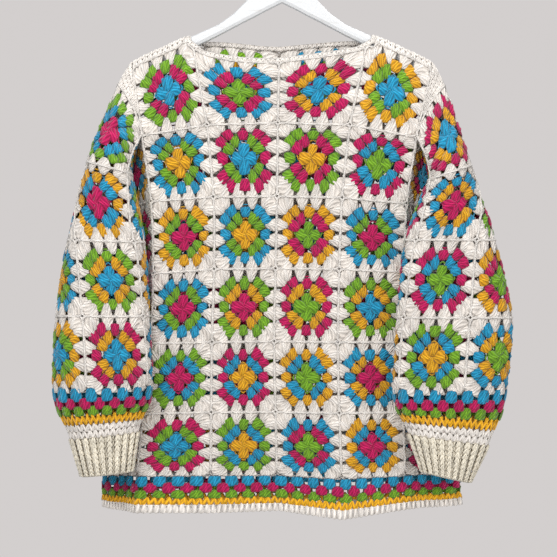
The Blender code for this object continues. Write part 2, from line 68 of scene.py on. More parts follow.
BODY = "root"
TINY = 1e-12
GRID_SLACK = 1e-9
ASPECT_PLACES = 80

# Sizes of the solids, in millimetres
ARMHOLE_SEAM = 0.6
SIDE_DEPTH = 8.0
HANGER_HALF_THICK = 6.0
RIDGE_RADIUS = 9.8
RIDGE_SHARE = 0.12
WRAP_SHARE = 0.03
CUFF_RIBS = 22
RING_SQUARENESS = 2.3
RING_PLACES = 73
RING_STEP = 5.0
HEAD_PUFF = 34.0
HEAD_REACH = 105.0
HEAD_LEAN = 0.8
HEAD_EASE = 0.7
SLOPE_STEPS = 10


class Across(NamedTuple):
    """A block line's values from the left side, over the seams, to the right side."""

    left_side: float
    seam_1: float
    seam_2: float
    middle: float
    seam_4: float
    seam_5: float
    right_side: float


class NeckPoint(NamedTuple):
    """A place on the neckline with its drop in front and behind."""

    x: float
    front: float
    back: float


class Ring(NamedTuple):
    """A sleeve's section on a block line."""

    out_x: float
    out_drop: float
    in_x: float
    in_drop: float
    back_drop: float
    depth: float
    half_depth: float
    turn: float
    share: float


# The front and back, by block line from the yoke seam (0) to the end of the blocks (5) and the hem (6)
FRONT_X = [
    Across(-222, -196, -105, -6, 95, 188, 219),
    Across(-221, -183, -96, -7, 84, 174, 215),
    Across(-226, -180, -95, -9, 80, 170, 219),
    Across(-236, -184, -98, -11, 78, 168, 228),
    Across(-246, -194, -99, -9, 80, 169, 238),
    Across(-254, -203, -100, -7, 83, 172, 250),
    Across(-255, -207, -100, -5, 84, 175, 256),
]
FRONT_DROP = [
    Across(318, 277, 262, 259, 262, 279, 320),
    Across(376, 369, 363, 362, 364, 372, 378),
    Across(476, 470, 464, 463, 464, 468, 474),
    Across(572, 568, 566, 565, 566, 566, 570),
    Across(668, 666, 664, 664, 665, 664, 666),
    Across(755, 754, 753, 753, 757, 753, 753),
    Across(801, 806, 806, 803, 814, 801, 798),
]
FRONT_DEPTH = [
    Across(SIDE_DEPTH, -30, -30, -29, -30, -30, SIDE_DEPTH),
    Across(SIDE_DEPTH, -33, -34, -31, -34, -33, SIDE_DEPTH),
    Across(SIDE_DEPTH, -33, -36, -30, -36, -34, SIDE_DEPTH),
    Across(SIDE_DEPTH, -34, -36, -30, -38, -34, SIDE_DEPTH),
    Across(SIDE_DEPTH, -34, -35, -30, -41, -34, SIDE_DEPTH),
    Across(SIDE_DEPTH, -33, -34, -29, -44, -33, SIDE_DEPTH),
    Across(SIDE_DEPTH, -32, -33, -28, -47, -32, SIDE_DEPTH),
]
BACK_X = [
    Across(-222, -204, -103, -2, 99, 200, 219),
    Across(-221, -176, -90, 0, 88, 173, 215),
    Across(-226, -162, -82, 0, 80, 160, 219),
    Across(-236, -164, -83, -2, 79, 160, 228),
    Across(-246, -170, -86, -3, 80, 163, 238),
    Across(-254, -176, -89, -3, 84, 170, 250),
    Across(-255, -178, -90, -2, 86, 173, 256),
]
BACK_DROP = [
    Across(318, 277, 266, 263, 266, 279, 320),
    Across(376, 371, 367, 366, 367, 373, 378),
    Across(476, 471, 467, 466, 467, 470, 474),
    Across(572, 569, 567, 566, 567, 568, 570),
    Across(668, 666, 664, 664, 664, 664, 666),
    Across(755, 754, 753, 753, 753, 753, 753),
    Across(801, 804, 805, 804, 804, 801, 798),
]
BACK_DEPTH = [
    Across(SIDE_DEPTH, 18, 20, 20, 20, 18, SIDE_DEPTH),
    Across(SIDE_DEPTH, 22, 25, 20, 25, 22, SIDE_DEPTH),
    Across(SIDE_DEPTH, 24, 20, 25, 20, 24, SIDE_DEPTH),
    Across(SIDE_DEPTH, 24, 20, 26, 20, 24, SIDE_DEPTH),
    Across(SIDE_DEPTH, 24, 21, 26, 21, 24, SIDE_DEPTH),
    Across(SIDE_DEPTH, 23, 20, 25, 20, 23, SIDE_DEPTH),
    Across(SIDE_DEPTH, 23, 20, 25, 20, 23, SIDE_DEPTH),
]
SIDE_COLUMNS = 6

# The yokes: four blocks across, from the shoulder ridge and neckline down to line 0
YOKE_COLUMNS = 4
YOKE_TOP_X = (-211, -112, -4, 108, 211)
YOKE_ROWS = (0.0, 0.04, 0.08, 0.12, 0.28, 0.46, 0.64, 0.82, 1.0)
NECK_START = 0.75
NECK_END = YOKE_COLUMNS - NECK_START
NECKLINE = [
    NeckPoint(-134, 144, 143),
    NeckPoint(-112, 162, 147),
    NeckPoint(-71, 171, 148.5),
    NeckPoint(-34, 174, 153),
    NeckPoint(-4, 174, 154.5),
    NeckPoint(48, 167, 149.5),
    NeckPoint(80, 162, 147),
    NeckPoint(108, 156, 146),
    NeckPoint(131, 143, 142),
]
FRONT_NECK_SWELL = 16.0
BACK_NECK_SWELL = 6.0
NECK_FULLNESS = 0.8

# The hanger's top edge, from its middle to its tip
HANGER_TOP = [
    (0, 48),
    (10, 49),
    (22, 56),
    (38, 71),
    (53, 87),
    (69, 103),
    (90, 118),
    (128, 135),
    (157, 148),
    (187, 161.5),
    (200, 168),
]
SHOULDER_TIP_DROP = 170.2

# The sleeves, by block line from 1, with out and in seen from the body's middle.  Turn is where the front
# block's middle lies round the ring, and share is the part of the ring that this block takes.
LEFT_RINGS = [
    Ring(271, 315, 210, 332, 26, -45, 35, -118, 0.34),
    Ring(297, 424, 192, 427, 8, -50, 41, -90, 0.28),
    Ring(313, 529, 185, 529, 0, -56, 42, -76, 0.25),
    Ring(316, 634, 182, 631, 0, -60, 39, -71, 0.25),
    Ring(295, 694, 199, 684, 0, -58, 29, -71, 0.25),
    Ring(277, 752, 209, 745, 0, -58, 22, -71, 0.25),
]
RIGHT_RINGS = [
    Ring(262, 320, 204, 341, 26, -48, 33, -105, 0.34),
    Ring(295, 424, 171, 424, 8, -54, 33, -85, 0.27),
    Ring(318, 531, 160, 531, 0, -60, 31, -73, 0.25),
    Ring(309, 636, 155, 636, 0, -62, 30, -72, 0.25),
    Ring(287, 702, 174, 687, 0, -60, 25, -72, 0.25),
    Ring(259, 760, 195, 745, 0, -60, 21, -72, 0.25),
]
SLEEVE_COLUMNS = 4
# Where the sleeve's own round meets the armhole: blocks round the sleeve, stretches of the armhole
HEAD = [(0, 0), (1, 0.9), (1.5, 1.3), (2.5, 2), (3.5, 3), (4, 4)]

SurfacePoint = Callable[[float, float], Vector]
Spot = float | np.ndarray


def lerp(start: float, end: float, share: float) -> float:
    """Straight mix of two numbers."""
    return start + (end - start) * share


def read_line(points: list[tuple[float, float]], value: float) -> float:
    """Straight interpolation through pairs.

    Args:
        points: Positions and readings, in rising order.
        value: Where to read.

    Returns:
        The reading, held level past both ends.
    """
    positions, readings = zip(*points)
    return float(np.interp(value, positions, readings))


def read_curve(values: list[float], position: float) -> float:
    """Smooth curve through evenly spaced values.

    Args:
        values: The curve's values.
        position: Where to read, counted in values.

    Returns:
        The value there.
    """
    last = len(values) - 1
    position = min(max(position, 0.0), float(last))
    index = min(int(position), last - 1)
    share = position - index
    start, end = values[index], values[index + 1]
    slope_in = 0.5 * (end - values[max(index - 1, 0)])
    slope_out = 0.5 * (values[min(index + 2, last)] - start)
    return blend_curve(start, end, slope_in, slope_out, share)


def blend_curve(start: Spot, end: Spot, slope_in: Spot, slope_out: Spot, share: float) -> Spot:
    """Curve between two numbers or points from their slopes.

    Args:
        start: Where it begins.
        end: Where it ends.
        slope_in: Its slope at the start.
        slope_out: Its slope at the end.
        share: How far along to read, from 0 to 1.

    Returns:
        The number or point there.
    """
    cube, square = share ** 3, share ** 2
    return ((2 * cube - 3 * square + 1) * start + (cube - 2 * square + share) * slope_in
            + (3 * square - 2 * cube) * end + (cube - square) * slope_out)


def read_across(table: list[Across], line: float, column: float) -> float:
    """A table's value, straight between the seams.

    Args:
        table: The values by block line.
        line: The block line.
        column: The column.

    Returns:
        The value there.
    """
    index = min(int(column), SIDE_COLUMNS - 1)
    start = read_curve([row[index] for row in table], line)
    end = read_curve([row[index + 1] for row in table], line)
    return lerp(start, end, column - index)


def panel_point(tables: tuple[list[Across], ...], line: float, column: float) -> Vector:
    """A point of the front or back sheet.

    Args:
        tables: The sheet's tables across, down and deep.
        line: The block line.
        column: The column, with 0 at the left side of the front view.

    Returns:
        The point in millimetres.
    """
    across_x, across_drop, across_depth = tables
    column = min(max(column, 0.0), float(SIDE_COLUMNS))
    if column < 1 or column > SIDE_COLUMNS - 1:
        seam = 1 if column < 1 else SIDE_COLUMNS - 1
        share = abs(column - seam)
        turned = share + math.sin(2 * math.pi * share) / (2 * math.pi)
        depth = lerp(read_across(across_depth, line, seam), SIDE_DEPTH, turned)
    else:
        depth = read_across(across_depth, line, column)
    return Vector((read_across(across_x, line, column), depth, -read_across(across_drop, line, column)))


FRONT = (FRONT_X, FRONT_DROP, FRONT_DEPTH)
BACK = (BACK_X, BACK_DROP, BACK_DEPTH)


def front_point(column: float, line: float) -> Vector:
    """A point of the front sheet."""
    return panel_point(FRONT, line, column)


def back_point(column: float, line: float) -> Vector:
    """A point of the back sheet, whose columns run the other way because it is seen from behind."""
    return panel_point(BACK, line, SIDE_COLUMNS - column)


def round_point(column: float, line: float) -> Vector:
    """A point of the body's round: the front's six columns, then the back's six.

    Args:
        column: The column, which may run past the round's start or end.
        line: The block line.

    Returns:
        The point in millimetres.
    """
    column = column % (2 * SIDE_COLUMNS)
    if column < SIDE_COLUMNS:
        return front_point(column, line)
    return back_point(column - SIDE_COLUMNS, line)


def ridge_drop(x: float) -> float:
    """Top of the cloth over the hanger's arm.

    Args:
        x: The place across.

    Returns:
        The drop there.
    """
    lift = RIDGE_RADIUS - HANGER_HALF_THICK
    ridge = [(place, top - lift) for place, top in HANGER_TOP]
    return read_line(ridge + [(-YOKE_TOP_X[0], SHOULDER_TIP_DROP)], abs(x))


@dataclass(frozen=True)
class YokeShape:
    """A yoke's surface; face is -1 in front and 1 behind."""

    face: int

    def wrap_start(self, column: float) -> float:
        """Angle round the hanger at which the cloth's top edge lies, from 0 on the ridge to 90."""
        inwards = min(column - NECK_START, NECK_END - column)
        return round(90.0 * min(max(inwards / WRAP_SHARE, 0.0), 1.0), 3)

    def front_view_point(self, column: float, row: float) -> Vector:
        """A point of the yoke.

        Args:
            column: The column, left to right in the front view.
            row: From the ridge or neckline, 0, down to the yoke's seam, 1.

        Returns:
            The point in millimetres.
        """
        column = min(max(column, 0.0), float(YOKE_COLUMNS))
        row = min(max(row, 0.0), 1.0)
        top_x = read_line(list(enumerate(YOKE_TOP_X)), column)
        bottom = panel_point(FRONT if self.face < 0 else BACK, 0, column + 1)
        start = self.wrap_start(column)
        arc = RIDGE_SHARE * (1 - start / 90.0)
        if start < 90.0 and row <= arc:
            angle = math.radians(lerp(start, 90.0, row / arc))
            drop = ridge_drop(top_x) + RIDGE_RADIUS * (1 - math.cos(angle))
            return Vector((top_x, self.face * RIDGE_RADIUS * math.sin(angle), -drop))
        share = (row - arc) / (1 - arc)
        drop = ridge_drop(top_x) + RIDGE_RADIUS
        depth = RIDGE_RADIUS
        if start >= 90.0:
            drop = read_line([(point.x, self.of_face(point)) for point in NECKLINE], top_x)
            swell = FRONT_NECK_SWELL if self.face < 0 else BACK_NECK_SWELL
            turn = math.pi * (column - NECK_START) / (NECK_END - NECK_START)
            depth += swell * math.sin(turn) ** NECK_FULLNESS
        eased = math.sin(0.5 * math.pi * share)
        return Vector((lerp(top_x, bottom.x, share), lerp(self.face * depth, bottom.y, eased),
                       lerp(-drop, bottom.z, share)))

    def of_face(self, point: NeckPoint) -> float:
        """The neckline's drop on this face."""
        return point.front if self.face < 0 else point.back

    def point(self, column: float, row: float) -> Vector:
        """A point of the yoke, with columns left to right as seen from outside."""
        return self.front_view_point(YOKE_COLUMNS - column if self.face > 0 else column, row)


def armhole(side: int) -> list[np.ndarray]:
    """The armhole's edge, turned to the left side.

    Args:
        side: -1 for the left armhole and 1 for the right one.

    Returns:
        Four stretches: down the front, under to the side, on to the back seam, and up the back.
    """
    edge = 0 if side < 0 else YOKE_COLUMNS
    seam, end = (1, 0) if side < 0 else (SIDE_COLUMNS - 1, SIDE_COLUMNS)
    steps = (0.0, 0.25, 0.5, 0.75, 1.0)
    stretches = [
        [YokeShape(-1).front_view_point(edge, row) for row in YOKE_ROWS],
        [panel_point(FRONT, 0, lerp(seam, end, share)) for share in steps],
        [panel_point(BACK, 0, lerp(end, seam, share)) for share in steps],
        [YokeShape(1).front_view_point(edge, row) for row in reversed(YOKE_ROWS)],
    ]
    turned = []
    for stretch in stretches:
        points = np.array([tuple(point) for point in stretch])
        points[:, 0] = -np.abs(points[:, 0])
        turned.append(points)
    return turned


def path_lengths(points: np.ndarray) -> np.ndarray:
    """Measures along a path.

    Args:
        points: The path's points.

    Returns:
        The share of its length at each point.
    """
    steps = np.linalg.norm(np.diff(points, axis=0), axis=1)
    lengths = np.concatenate(([0.0], np.cumsum(steps)))
    return lengths / lengths[-1]


def read_path(points: np.ndarray, shares: np.ndarray, wanted: float) -> np.ndarray:
    """A path's point where the given shares reach a wanted one."""
    return np.array([np.interp(wanted, shares, points[:, axis]) for axis in range(3)])


def unit(vectors: np.ndarray) -> np.ndarray:
    """Vectors along the last axis, each brought to a length of 1."""
    return vectors / np.maximum(np.linalg.norm(vectors, axis=-1, keepdims=True), TINY)


def squared_round(angle: np.ndarray, power: float) -> tuple[np.ndarray, np.ndarray]:
    """A round between a circle and a square.

    Args:
        angle: Angles round it, in radians.
        power: How square it is: 2 is a circle.

    Returns:
        The places across and up, from -1 to 1.
    """
    across, up = np.cos(angle), np.sin(angle)
    share = 2 / power
    return np.sign(across) * np.abs(across) ** share, np.sign(up) * np.abs(up) ** share


class SleeveShape:
    """A sleeve's surface, made as a left one; the right one is turned over in X."""

    def __init__(self, side: int, rings: list[Ring]) -> None:
        """Works out the armhole's edge that the sleeve grows from.

        Args:
            side: -1 for the left sleeve and 1 for the right one.
            rings: The sleeve's sections.
        """
        self.side = side
        self.rings = rings
        self.hole = armhole(side)
        self.hole_shares = [path_lengths(points) for points in self.hole]
        self.paths: dict[float, tuple] = {}

    def ring_path(self, line: float) -> tuple:
        """The round on a block line, from the middle of the front block.

        Args:
            line: The block line, from 1.

        Returns:
            The ring, its points, and their shares of its length.
        """
        if line not in self.paths:
            ring = Ring(*[read_curve(values, line - 1) for values in zip(*self.rings)])
            angle = np.radians(ring.turn + np.arange(RING_PLACES) * RING_STEP)
            across, deep = squared_round(angle, RING_SQUARENESS)
            drop = ring.out_drop + (ring.in_drop - ring.out_drop) * 0.5 * (1 + across)
            drop += ring.back_drop * np.maximum(deep, 0.0)
            x = -0.5 * (ring.out_x + ring.in_x) + 0.5 * (ring.out_x - ring.in_x) * across
            points = np.stack((x, ring.depth + ring.half_depth * deep, -drop), axis=1)
            self.paths[line] = (ring, points, path_lengths(points))
        return self.paths[line]

    def round_at(self, column: float, line: float) -> np.ndarray:
        """A point of the round below the head.

        Args:
            column: Blocks round the sleeve.
            line: The block line, from 1.

        Returns:
            The point in millimetres.
        """
        ring, points, shares = self.ring_path(line)
        column = column % SLEEVE_COLUMNS
        if column <= 1:
            wanted = (ring.share * (column - 0.5)) % 1.0
        else:
            wanted = ring.share * 0.5 + (column - 1) * (1 - ring.share) / (SLEEVE_COLUMNS - 1)
        return read_path(points, shares, wanted)

    def head_at(self, column: float, line: float) -> np.ndarray:
        """Between the armhole and line 1, a smooth curve that leaves the armhole outwards.

        Args:
            column: Blocks round the sleeve.
            line: From the armhole, 0, to the end of the first row, 1.

        Returns:
            The point in millimetres.
        """
        place = read_line(HEAD, column % SLEEVE_COLUMNS)
        stretch = min(int(place), len(self.hole) - 1)
        points = self.hole[stretch]
        shares = self.hole_shares[stretch]
        if stretch in (1, 2):
            shares = np.linspace(0.0, 1.0, len(points))
        away = np.array((-1.0, -HEAD_LEAN * math.sin(0.5 * math.pi * place), 0.0))
        away /= np.linalg.norm(away)
        start = read_path(points, shares, place - stretch) + away * ARMHOLE_SEAM
        end = self.round_at(column, 1)
        reach = min(float(np.linalg.norm(end - start)) / HEAD_REACH, 1.0)
        slope_out = (self.round_at(column, 1 + 1 / SLOPE_STEPS) - end) * SLOPE_STEPS * reach
        slope_in = (end - start) * HEAD_EASE + away * HEAD_PUFF * reach
        return blend_curve(start, end, slope_in, slope_out, line)

    def point(self, column: float, line: float) -> Vector:
        """A point of the sleeve.

        Args:
            column: Blocks round the sleeve, left to right as seen from outside.
            line: The block line, from the armhole at 0.

        Returns:
            The point in millimetres.
        """
        if self.side > 0:
            column = SLEEVE_COLUMNS - column
        place = self.head_at(column, max(line, 0.0)) if line < 1 else self.round_at(column, line)
        return Vector((place[0] * -self.side, place[1], place[2]))


@dataclass
class ClothGrid:
    """A surface read once on an even grid, in metres, so that stitches can be laid on it quickly."""

    surface: SurfacePoint
    columns: tuple[float, float]
    rows: tuple[float, float]
    steps: int = 10
    row_steps: int = 10
    points: np.ndarray = field(init=False)
    normals: np.ndarray = field(init=False)

    def __post_init__(self) -> None:
        """Reads the surface and works out its outward normals."""
        across = round((self.columns[1] - self.columns[0]) * self.steps) + 1
        down = round((self.rows[1] - self.rows[0]) * self.row_steps) + 1
        grid = [[tuple(self.surface(column, row)) for column in np.linspace(*self.columns, across)]
                for row in np.linspace(*self.rows, down)]
        self.points = np.array(grid) * MM
        self.normals = unit(np.cross(np.gradient(self.points, axis=0), np.gradient(self.points, axis=1)))

    def aspect(self, top: float, end: float) -> float:
        """How many rows are as long as one column.

        Args:
            top: The row where the measured stretch begins.
            end: The row where it ends.

        Returns:
            Rows to a column's length.
        """
        columns = np.linspace(*self.columns, ASPECT_PLACES)
        upper = self.read(columns, np.full_like(columns, top))[0]
        lower = self.read(columns, np.full_like(columns, end))[0]
        down = np.linalg.norm(lower - upper, axis=1).mean() / (end - top)
        across = np.linalg.norm(np.diff(upper, axis=0), axis=1).sum() / (self.columns[1] - self.columns[0])
        return float(across / down)

    def read(self, column: np.ndarray, row: np.ndarray) -> tuple[np.ndarray, np.ndarray]:
        """Places and normals on the surface.

        Args:
            column: Columns to read, in an array of any shape.
            row: Rows to read, in the same shape.

        Returns:
            The points in metres and the outward normals.
        """
        down, across = self.points.shape[:2]
        spread_u = (column - self.columns[0]) / (self.columns[1] - self.columns[0]) * (across - 1)
        spread_v = (row - self.rows[0]) / (self.rows[1] - self.rows[0]) * (down - 1)
        u = np.clip(spread_u, 0, across - 1 - GRID_SLACK)
        v = np.clip(spread_v, 0, down - 1 - GRID_SLACK)
        i, j = u.astype(int), v.astype(int)
        a, b = (u - i)[..., None], (v - j)[..., None]
        found = []
        for grid in (self.points, self.normals):
            top = grid[j, i] * (1 - a) + grid[j, i + 1] * a
            low = grid[j + 1, i] * (1 - a) + grid[j + 1, i + 1] * a
            found.append(top * (1 - b) + low * b)
        return found[0], unit(found[1])


class Yarn(Enum):
    """The yarns of the sweater, by the letter that the layouts use."""

    WHITE = "W"
    CREAM = "C"
    BLUE = "B"
    PINK = "P"
    GREEN = "G"
    YELLOW = "Y"


@dataclass
class NodeGraph:
    """A node tree that is filled node by node."""

    tree: bpy.types.NodeTree

    def fill(self, node: bpy.types.Node, inputs: dict[str | int, object]) -> None:
        """Sets a node's sockets.

        Args:
            node: The node.
            inputs: By socket, a constant, or the output of another node to link.
        """
        for socket, value in inputs.items():
            if isinstance(value, bpy.types.NodeSocket):
                self.tree.links.new(value, node.inputs[socket])
            else:
                node.inputs[socket].default_value = value

    def add(self, kind: str, output: str, inputs: dict[str | int, object],
            **options: str) -> bpy.types.NodeSocket:
        """Adds a node.

        Args:
            kind: The node's type, without its prefix.
            output: The output that is wanted.
            inputs: What its sockets take, as for fill().
            options: The node's own settings.

        Returns:
            The wanted output.
        """
        node = self.tree.nodes.new("ShaderNode" + kind)
        for option, value in options.items():
            setattr(node, option, value)
        self.fill(node, inputs)
        return node.outputs[output]


def start_material(name: str) -> tuple[bpy.types.Material, NodeGraph, bpy.types.Node]:
    """Makes a material.

    Args:
        name: Its name.

    Returns:
        The material, its nodes and its shader.
    """
    made = bpy.data.materials.new(name)
    made.use_nodes = True
    return made, NodeGraph(made.node_tree), made.node_tree.nodes["Principled BSDF"]


def put_on(node: bpy.types.Object, finish: bpy.types.Material) -> None:
    """Gives a node one material in place of its own."""
    node.data.materials.clear()
    node.data.materials.append(finish)


@dataclass(frozen=True)
class YarnFinish:
    """How a yarn looks: its colour, its painted shade colour, how its plies turn and how dark the painted
    shade in the lines between them is.
    """

    colour: tuple[float, float, float]
    painted_shade_colour: tuple[float, float, float]
    # Painted shade in the lines between the plies: the share of colour kept there
    line: float = 0.55
    ply_turn: float = 0.62
    ply_scale: tuple[float, float] = (3.5, 1.8)
    roughness: float = 0.88
    sheen: float = 0.22

    def material(self, name: str) -> bpy.types.Material:
        """Builds the yarn's node material.

        Args:
            name: The material's name.

        Returns:
            The material.
        """
        made, graph, shader = start_material(name)
        by_ply = graph.add("TexCoord", "UV", {})
        by_place = graph.add("TexCoord", "Object", {})
        turned = graph.add("Mapping", "Vector", {
            "Vector": by_ply, "Rotation": (0.0, 0.0, self.ply_turn), "Scale": (*self.ply_scale, 1.0)})
        plies = graph.add("TexWave", "Fac", {
            "Vector": turned, "Scale": 1.0, "Distortion": 0.8, "Detail Scale": 1.5})
        fibre = graph.add("TexNoise", "Fac", {"Vector": by_place, "Scale": 1400.0, "Detail": 3.0})
        patches = graph.add("TexNoise", "Fac", {"Vector": by_place, "Scale": 55.0, "Detail": 2.0})
        # Painted shade: where a stitch's painted light is low, its colour goes over to the yarn's painted
        # shade colour
        painted_light = graph.add("Attribute", "Fac", {}, attribute_name="painted_light")
        depth = graph.add("MapRange", "Result", {"Value": painted_light, "From Min": 0.15, "From Max": 0.8})
        # Painted shade darkens the lines between the plies; the random patches of tone are the yarn's own
        ply_shade = graph.add("MapRange", "Result", {"Value": plies, "From Max": 0.45, "To Min": self.line})
        varied = graph.add("MapRange", "Result", {
            "Value": patches, "From Min": 0.3, "From Max": 0.7, "To Min": 0.86, "To Max": 1.08})
        ply_shade_and_tone = graph.add("Math", "Value", {0: ply_shade, 1: varied}, operation="MULTIPLY")
        raised = graph.add("Mix", "Result", {
            "Factor": depth, "A": (*self.painted_shade_colour, 1.0), "B": (*self.colour, 1.0)}, data_type="RGBA")
        shaded = graph.add("VectorMath", "Vector", {"Vector": raised, "Scale": ply_shade_and_tone}, operation="SCALE")
        height = graph.add("Math", "Value", {0: fibre, 1: 0.12, 2: plies}, operation="MULTIPLY_ADD")
        bump = graph.add("Bump", "Normal", {"Height": height, "Strength": 0.9, "Distance": 0.0015})
        graph.fill(shader, {
            "Base Color": shaded, "Normal": bump, "Roughness": self.roughness, "Sheen Weight": self.sheen,
            "Sheen Roughness": 0.45, "Specular IOR Level": 0.25})
        return made


# Each yarn: its colour, its painted shade colour, and for white and cream a lighter painted shade between the
# plies
YARNS = {
    Yarn.WHITE: YarnFinish((0.90, 0.845, 0.785), (0.62, 0.55, 0.48), 0.80),
    Yarn.CREAM: YarnFinish((0.93, 0.86, 0.71), (0.60, 0.51, 0.37), 0.80),
    Yarn.BLUE: YarnFinish((0.022, 0.41, 0.70), (0.004, 0.10, 0.19)),
    Yarn.PINK: YarnFinish((0.70, 0.010, 0.135), (0.18, 0.002, 0.035)),
    Yarn.GREEN: YarnFinish((0.24, 0.52, 0.026), (0.055, 0.14, 0.008)),
    Yarn.YELLOW: YarnFinish((0.95, 0.49, 0.017), (0.38, 0.14, 0.006)),
}
YARN_ORDER = list(YARNS)
Materials = dict[Yarn, bpy.types.Material]


def clear_selection() -> None:
    """Leaves nothing selected."""
    if bpy.context.object is not None and bpy.context.object.mode != "OBJECT":
        bpy.ops.object.mode_set(mode="OBJECT")
    bpy.ops.object.select_all(action="DESELECT")


def pick(piece: bpy.types.Object, wanted: Callable[[Vector], bool]) -> int:
    """Selects a mesh's points by place and goes back to edit mode.

    Args:
        piece: The piece being modelled.
        wanted: Says of a point whether it is taken.

    Returns:
        How many points are selected.
    """
    bpy.ops.object.mode_set(mode="EDIT")
    bpy.ops.mesh.select_mode(type="VERT")
    bpy.ops.mesh.select_all(action="DESELECT")
    bpy.ops.object.mode_set(mode="OBJECT")
    count = 0
    for vertex in piece.data.vertices:
        vertex.select = wanted(vertex.co)
        count += vertex.select
    bpy.ops.object.mode_set(mode="EDIT")
    return count


@dataclass(frozen=True)
class Stitch:
    """A worked shape that is copied: its points in a unit cube, corners, faces, plies and painted light,
    which darkens its sides as painted shade.
    """

    points: np.ndarray
    corners: np.ndarray
    face_sizes: np.ndarray
    plies: np.ndarray
    painted_light: np.ndarray


class Stitches(NamedTuple):
    """The stitches that the garment copies: coloured, plain, of striped rows and of white edges."""

    cluster: Stitch
    bead: Stitch
    row_cluster: Stitch
    wedge: Stitch


# A modelled stitch: its ball of yarn, the core that grooves leave alone, how its sides are taken, and its
# painted light, least at the painted shade on its sides
BALL_RADIUS = 0.5
CORE_RADIUS = 0.05
RING_SLACK = 1e-3
LEAST_RADIUS = 0.2
HEIGHT_SHARE = 0.92
UNDERSIDE_START = -0.02
UNDERSIDE_PAINTED_LIGHT = 0.85
LEAST_PAINTED_LIGHT = 0.08


@dataclass
class StitchModel:
    """Models one stitch by hand, with its post or posts running along Y and its outside up."""

    name: str
    segments: int = 12
    rings: int = 6
    posts: int = 3
    foot_width: float = 0.55
    head_width: float = 1.0
    groove: float = 0.56
    underside: float = 0.75
    squareness: float = 0.9
    strands: float = 1.0

    def model(self) -> Stitch:
        """Shapes the stitch from a ball of yarn.

        Returns:
            The finished stitch, whose object is then removed.
        """
        clear_selection()
        bpy.ops.mesh.primitive_uv_sphere_add(segments=self.segments, ring_count=self.rings, calc_uvs=True,
                                             radius=BALL_RADIUS, rotation=(math.pi / 2, 0.0, 0.0))
        piece = bpy.context.object
        piece.name = self.name
        bpy.ops.object.transform_apply(location=True, rotation=True, scale=True)
        self.press_grooves(piece)
        self.fan_out(piece)
        self.flatten_underside(piece)
        bpy.ops.object.mode_set(mode="OBJECT")
        found = self.measure(piece)
        bpy.data.objects.remove(piece, do_unlink=True)
        return found

    def press_grooves(self, piece: bpy.types.Object) -> None:
        """Presses the grooves between the posts.

        Args:
            piece: The object being modelled.
        """
        if self.posts < 2:
            return
        between = [math.pi * index / self.posts for index in range(1, self.posts)]
        width = math.pi / self.segments

        def in_groove(point: Vector) -> bool:
            """Whether a point lies in a groove of the upper side."""
            in_core = math.hypot(point.x, point.z) <= CORE_RADIUS
            return not in_core and any(abs(math.atan2(point.z, point.x) - at) < width for at in between)

        if pick(piece, in_groove):
            bpy.ops.transform.resize(value=(self.groove, 1.0, self.groove), center_override=(0.0, 0.0, 0.0))

    def fan_out(self, piece: bpy.types.Object) -> None:
        """Narrows the foot, widens the head and squares both ends off.

        Args:
            piece: The object being modelled.
        """
        rings = sorted({round(vertex.co.y, 4) for vertex in piece.data.vertices})
        for index, place in enumerate(rings[1:-1]):
            share = index / max(len(rings) - 3, 1)
            width = lerp(self.foot_width, self.head_width, share)
            radius = math.sqrt(max(BALL_RADIUS ** 2 - place * place, 0.0))
            fullness = BALL_RADIUS / max(radius, LEAST_RADIUS)
            grown = 1.0 + (fullness - 1.0) * self.squareness
            pick(piece, lambda point, place=place: abs(point.y - place) < RING_SLACK)
            bpy.ops.transform.resize(value=(width * grown, 1.0, grown * HEIGHT_SHARE),
                                     center_override=(0.0, place, 0.0))

    def flatten_underside(self, piece: bpy.types.Object) -> None:
        """Presses the side that lies inwards."""
        if pick(piece, lambda point: point.z < UNDERSIDE_START):
            bpy.ops.transform.resize(value=(1.0, 1.0, self.underside), center_override=(0.0, 0.0, 0.0))

    def measure(self, piece: bpy.types.Object) -> Stitch:
        """Reads the finished mesh.

        Args:
            piece: The modelled object.

        Returns:
            Its points, faces, plies and painted light: full on top, darkest as painted shade on the sides, a
            little darker underneath.
        """
        mesh = piece.data
        points = np.zeros(len(mesh.vertices) * 3)
        mesh.vertices.foreach_get("co", points)
        points = points.reshape(-1, 3)
        corners = np.zeros(len(mesh.loops), int)
        mesh.loops.foreach_get("vertex_index", corners)
        sizes = np.array([len(face.vertices) for face in mesh.polygons])
        plies = np.zeros(len(mesh.loops) * 2)
        mesh.uv_layers.active.data.foreach_get("uv", plies)
        # Painted light: full on the stitch's top, darkest as painted shade on the sides where stitches meet,
        # a little darker underneath
        height = points[:, 2]
        up = np.where(height > 0, height / height.max(), UNDERSIDE_PAINTED_LIGHT * height / height.min())
        painted_light = LEAST_PAINTED_LIGHT + (1 - LEAST_PAINTED_LIGHT) * up
        return Stitch(points, corners, sizes, plies.reshape(-1, 2) * self.strands, painted_light)


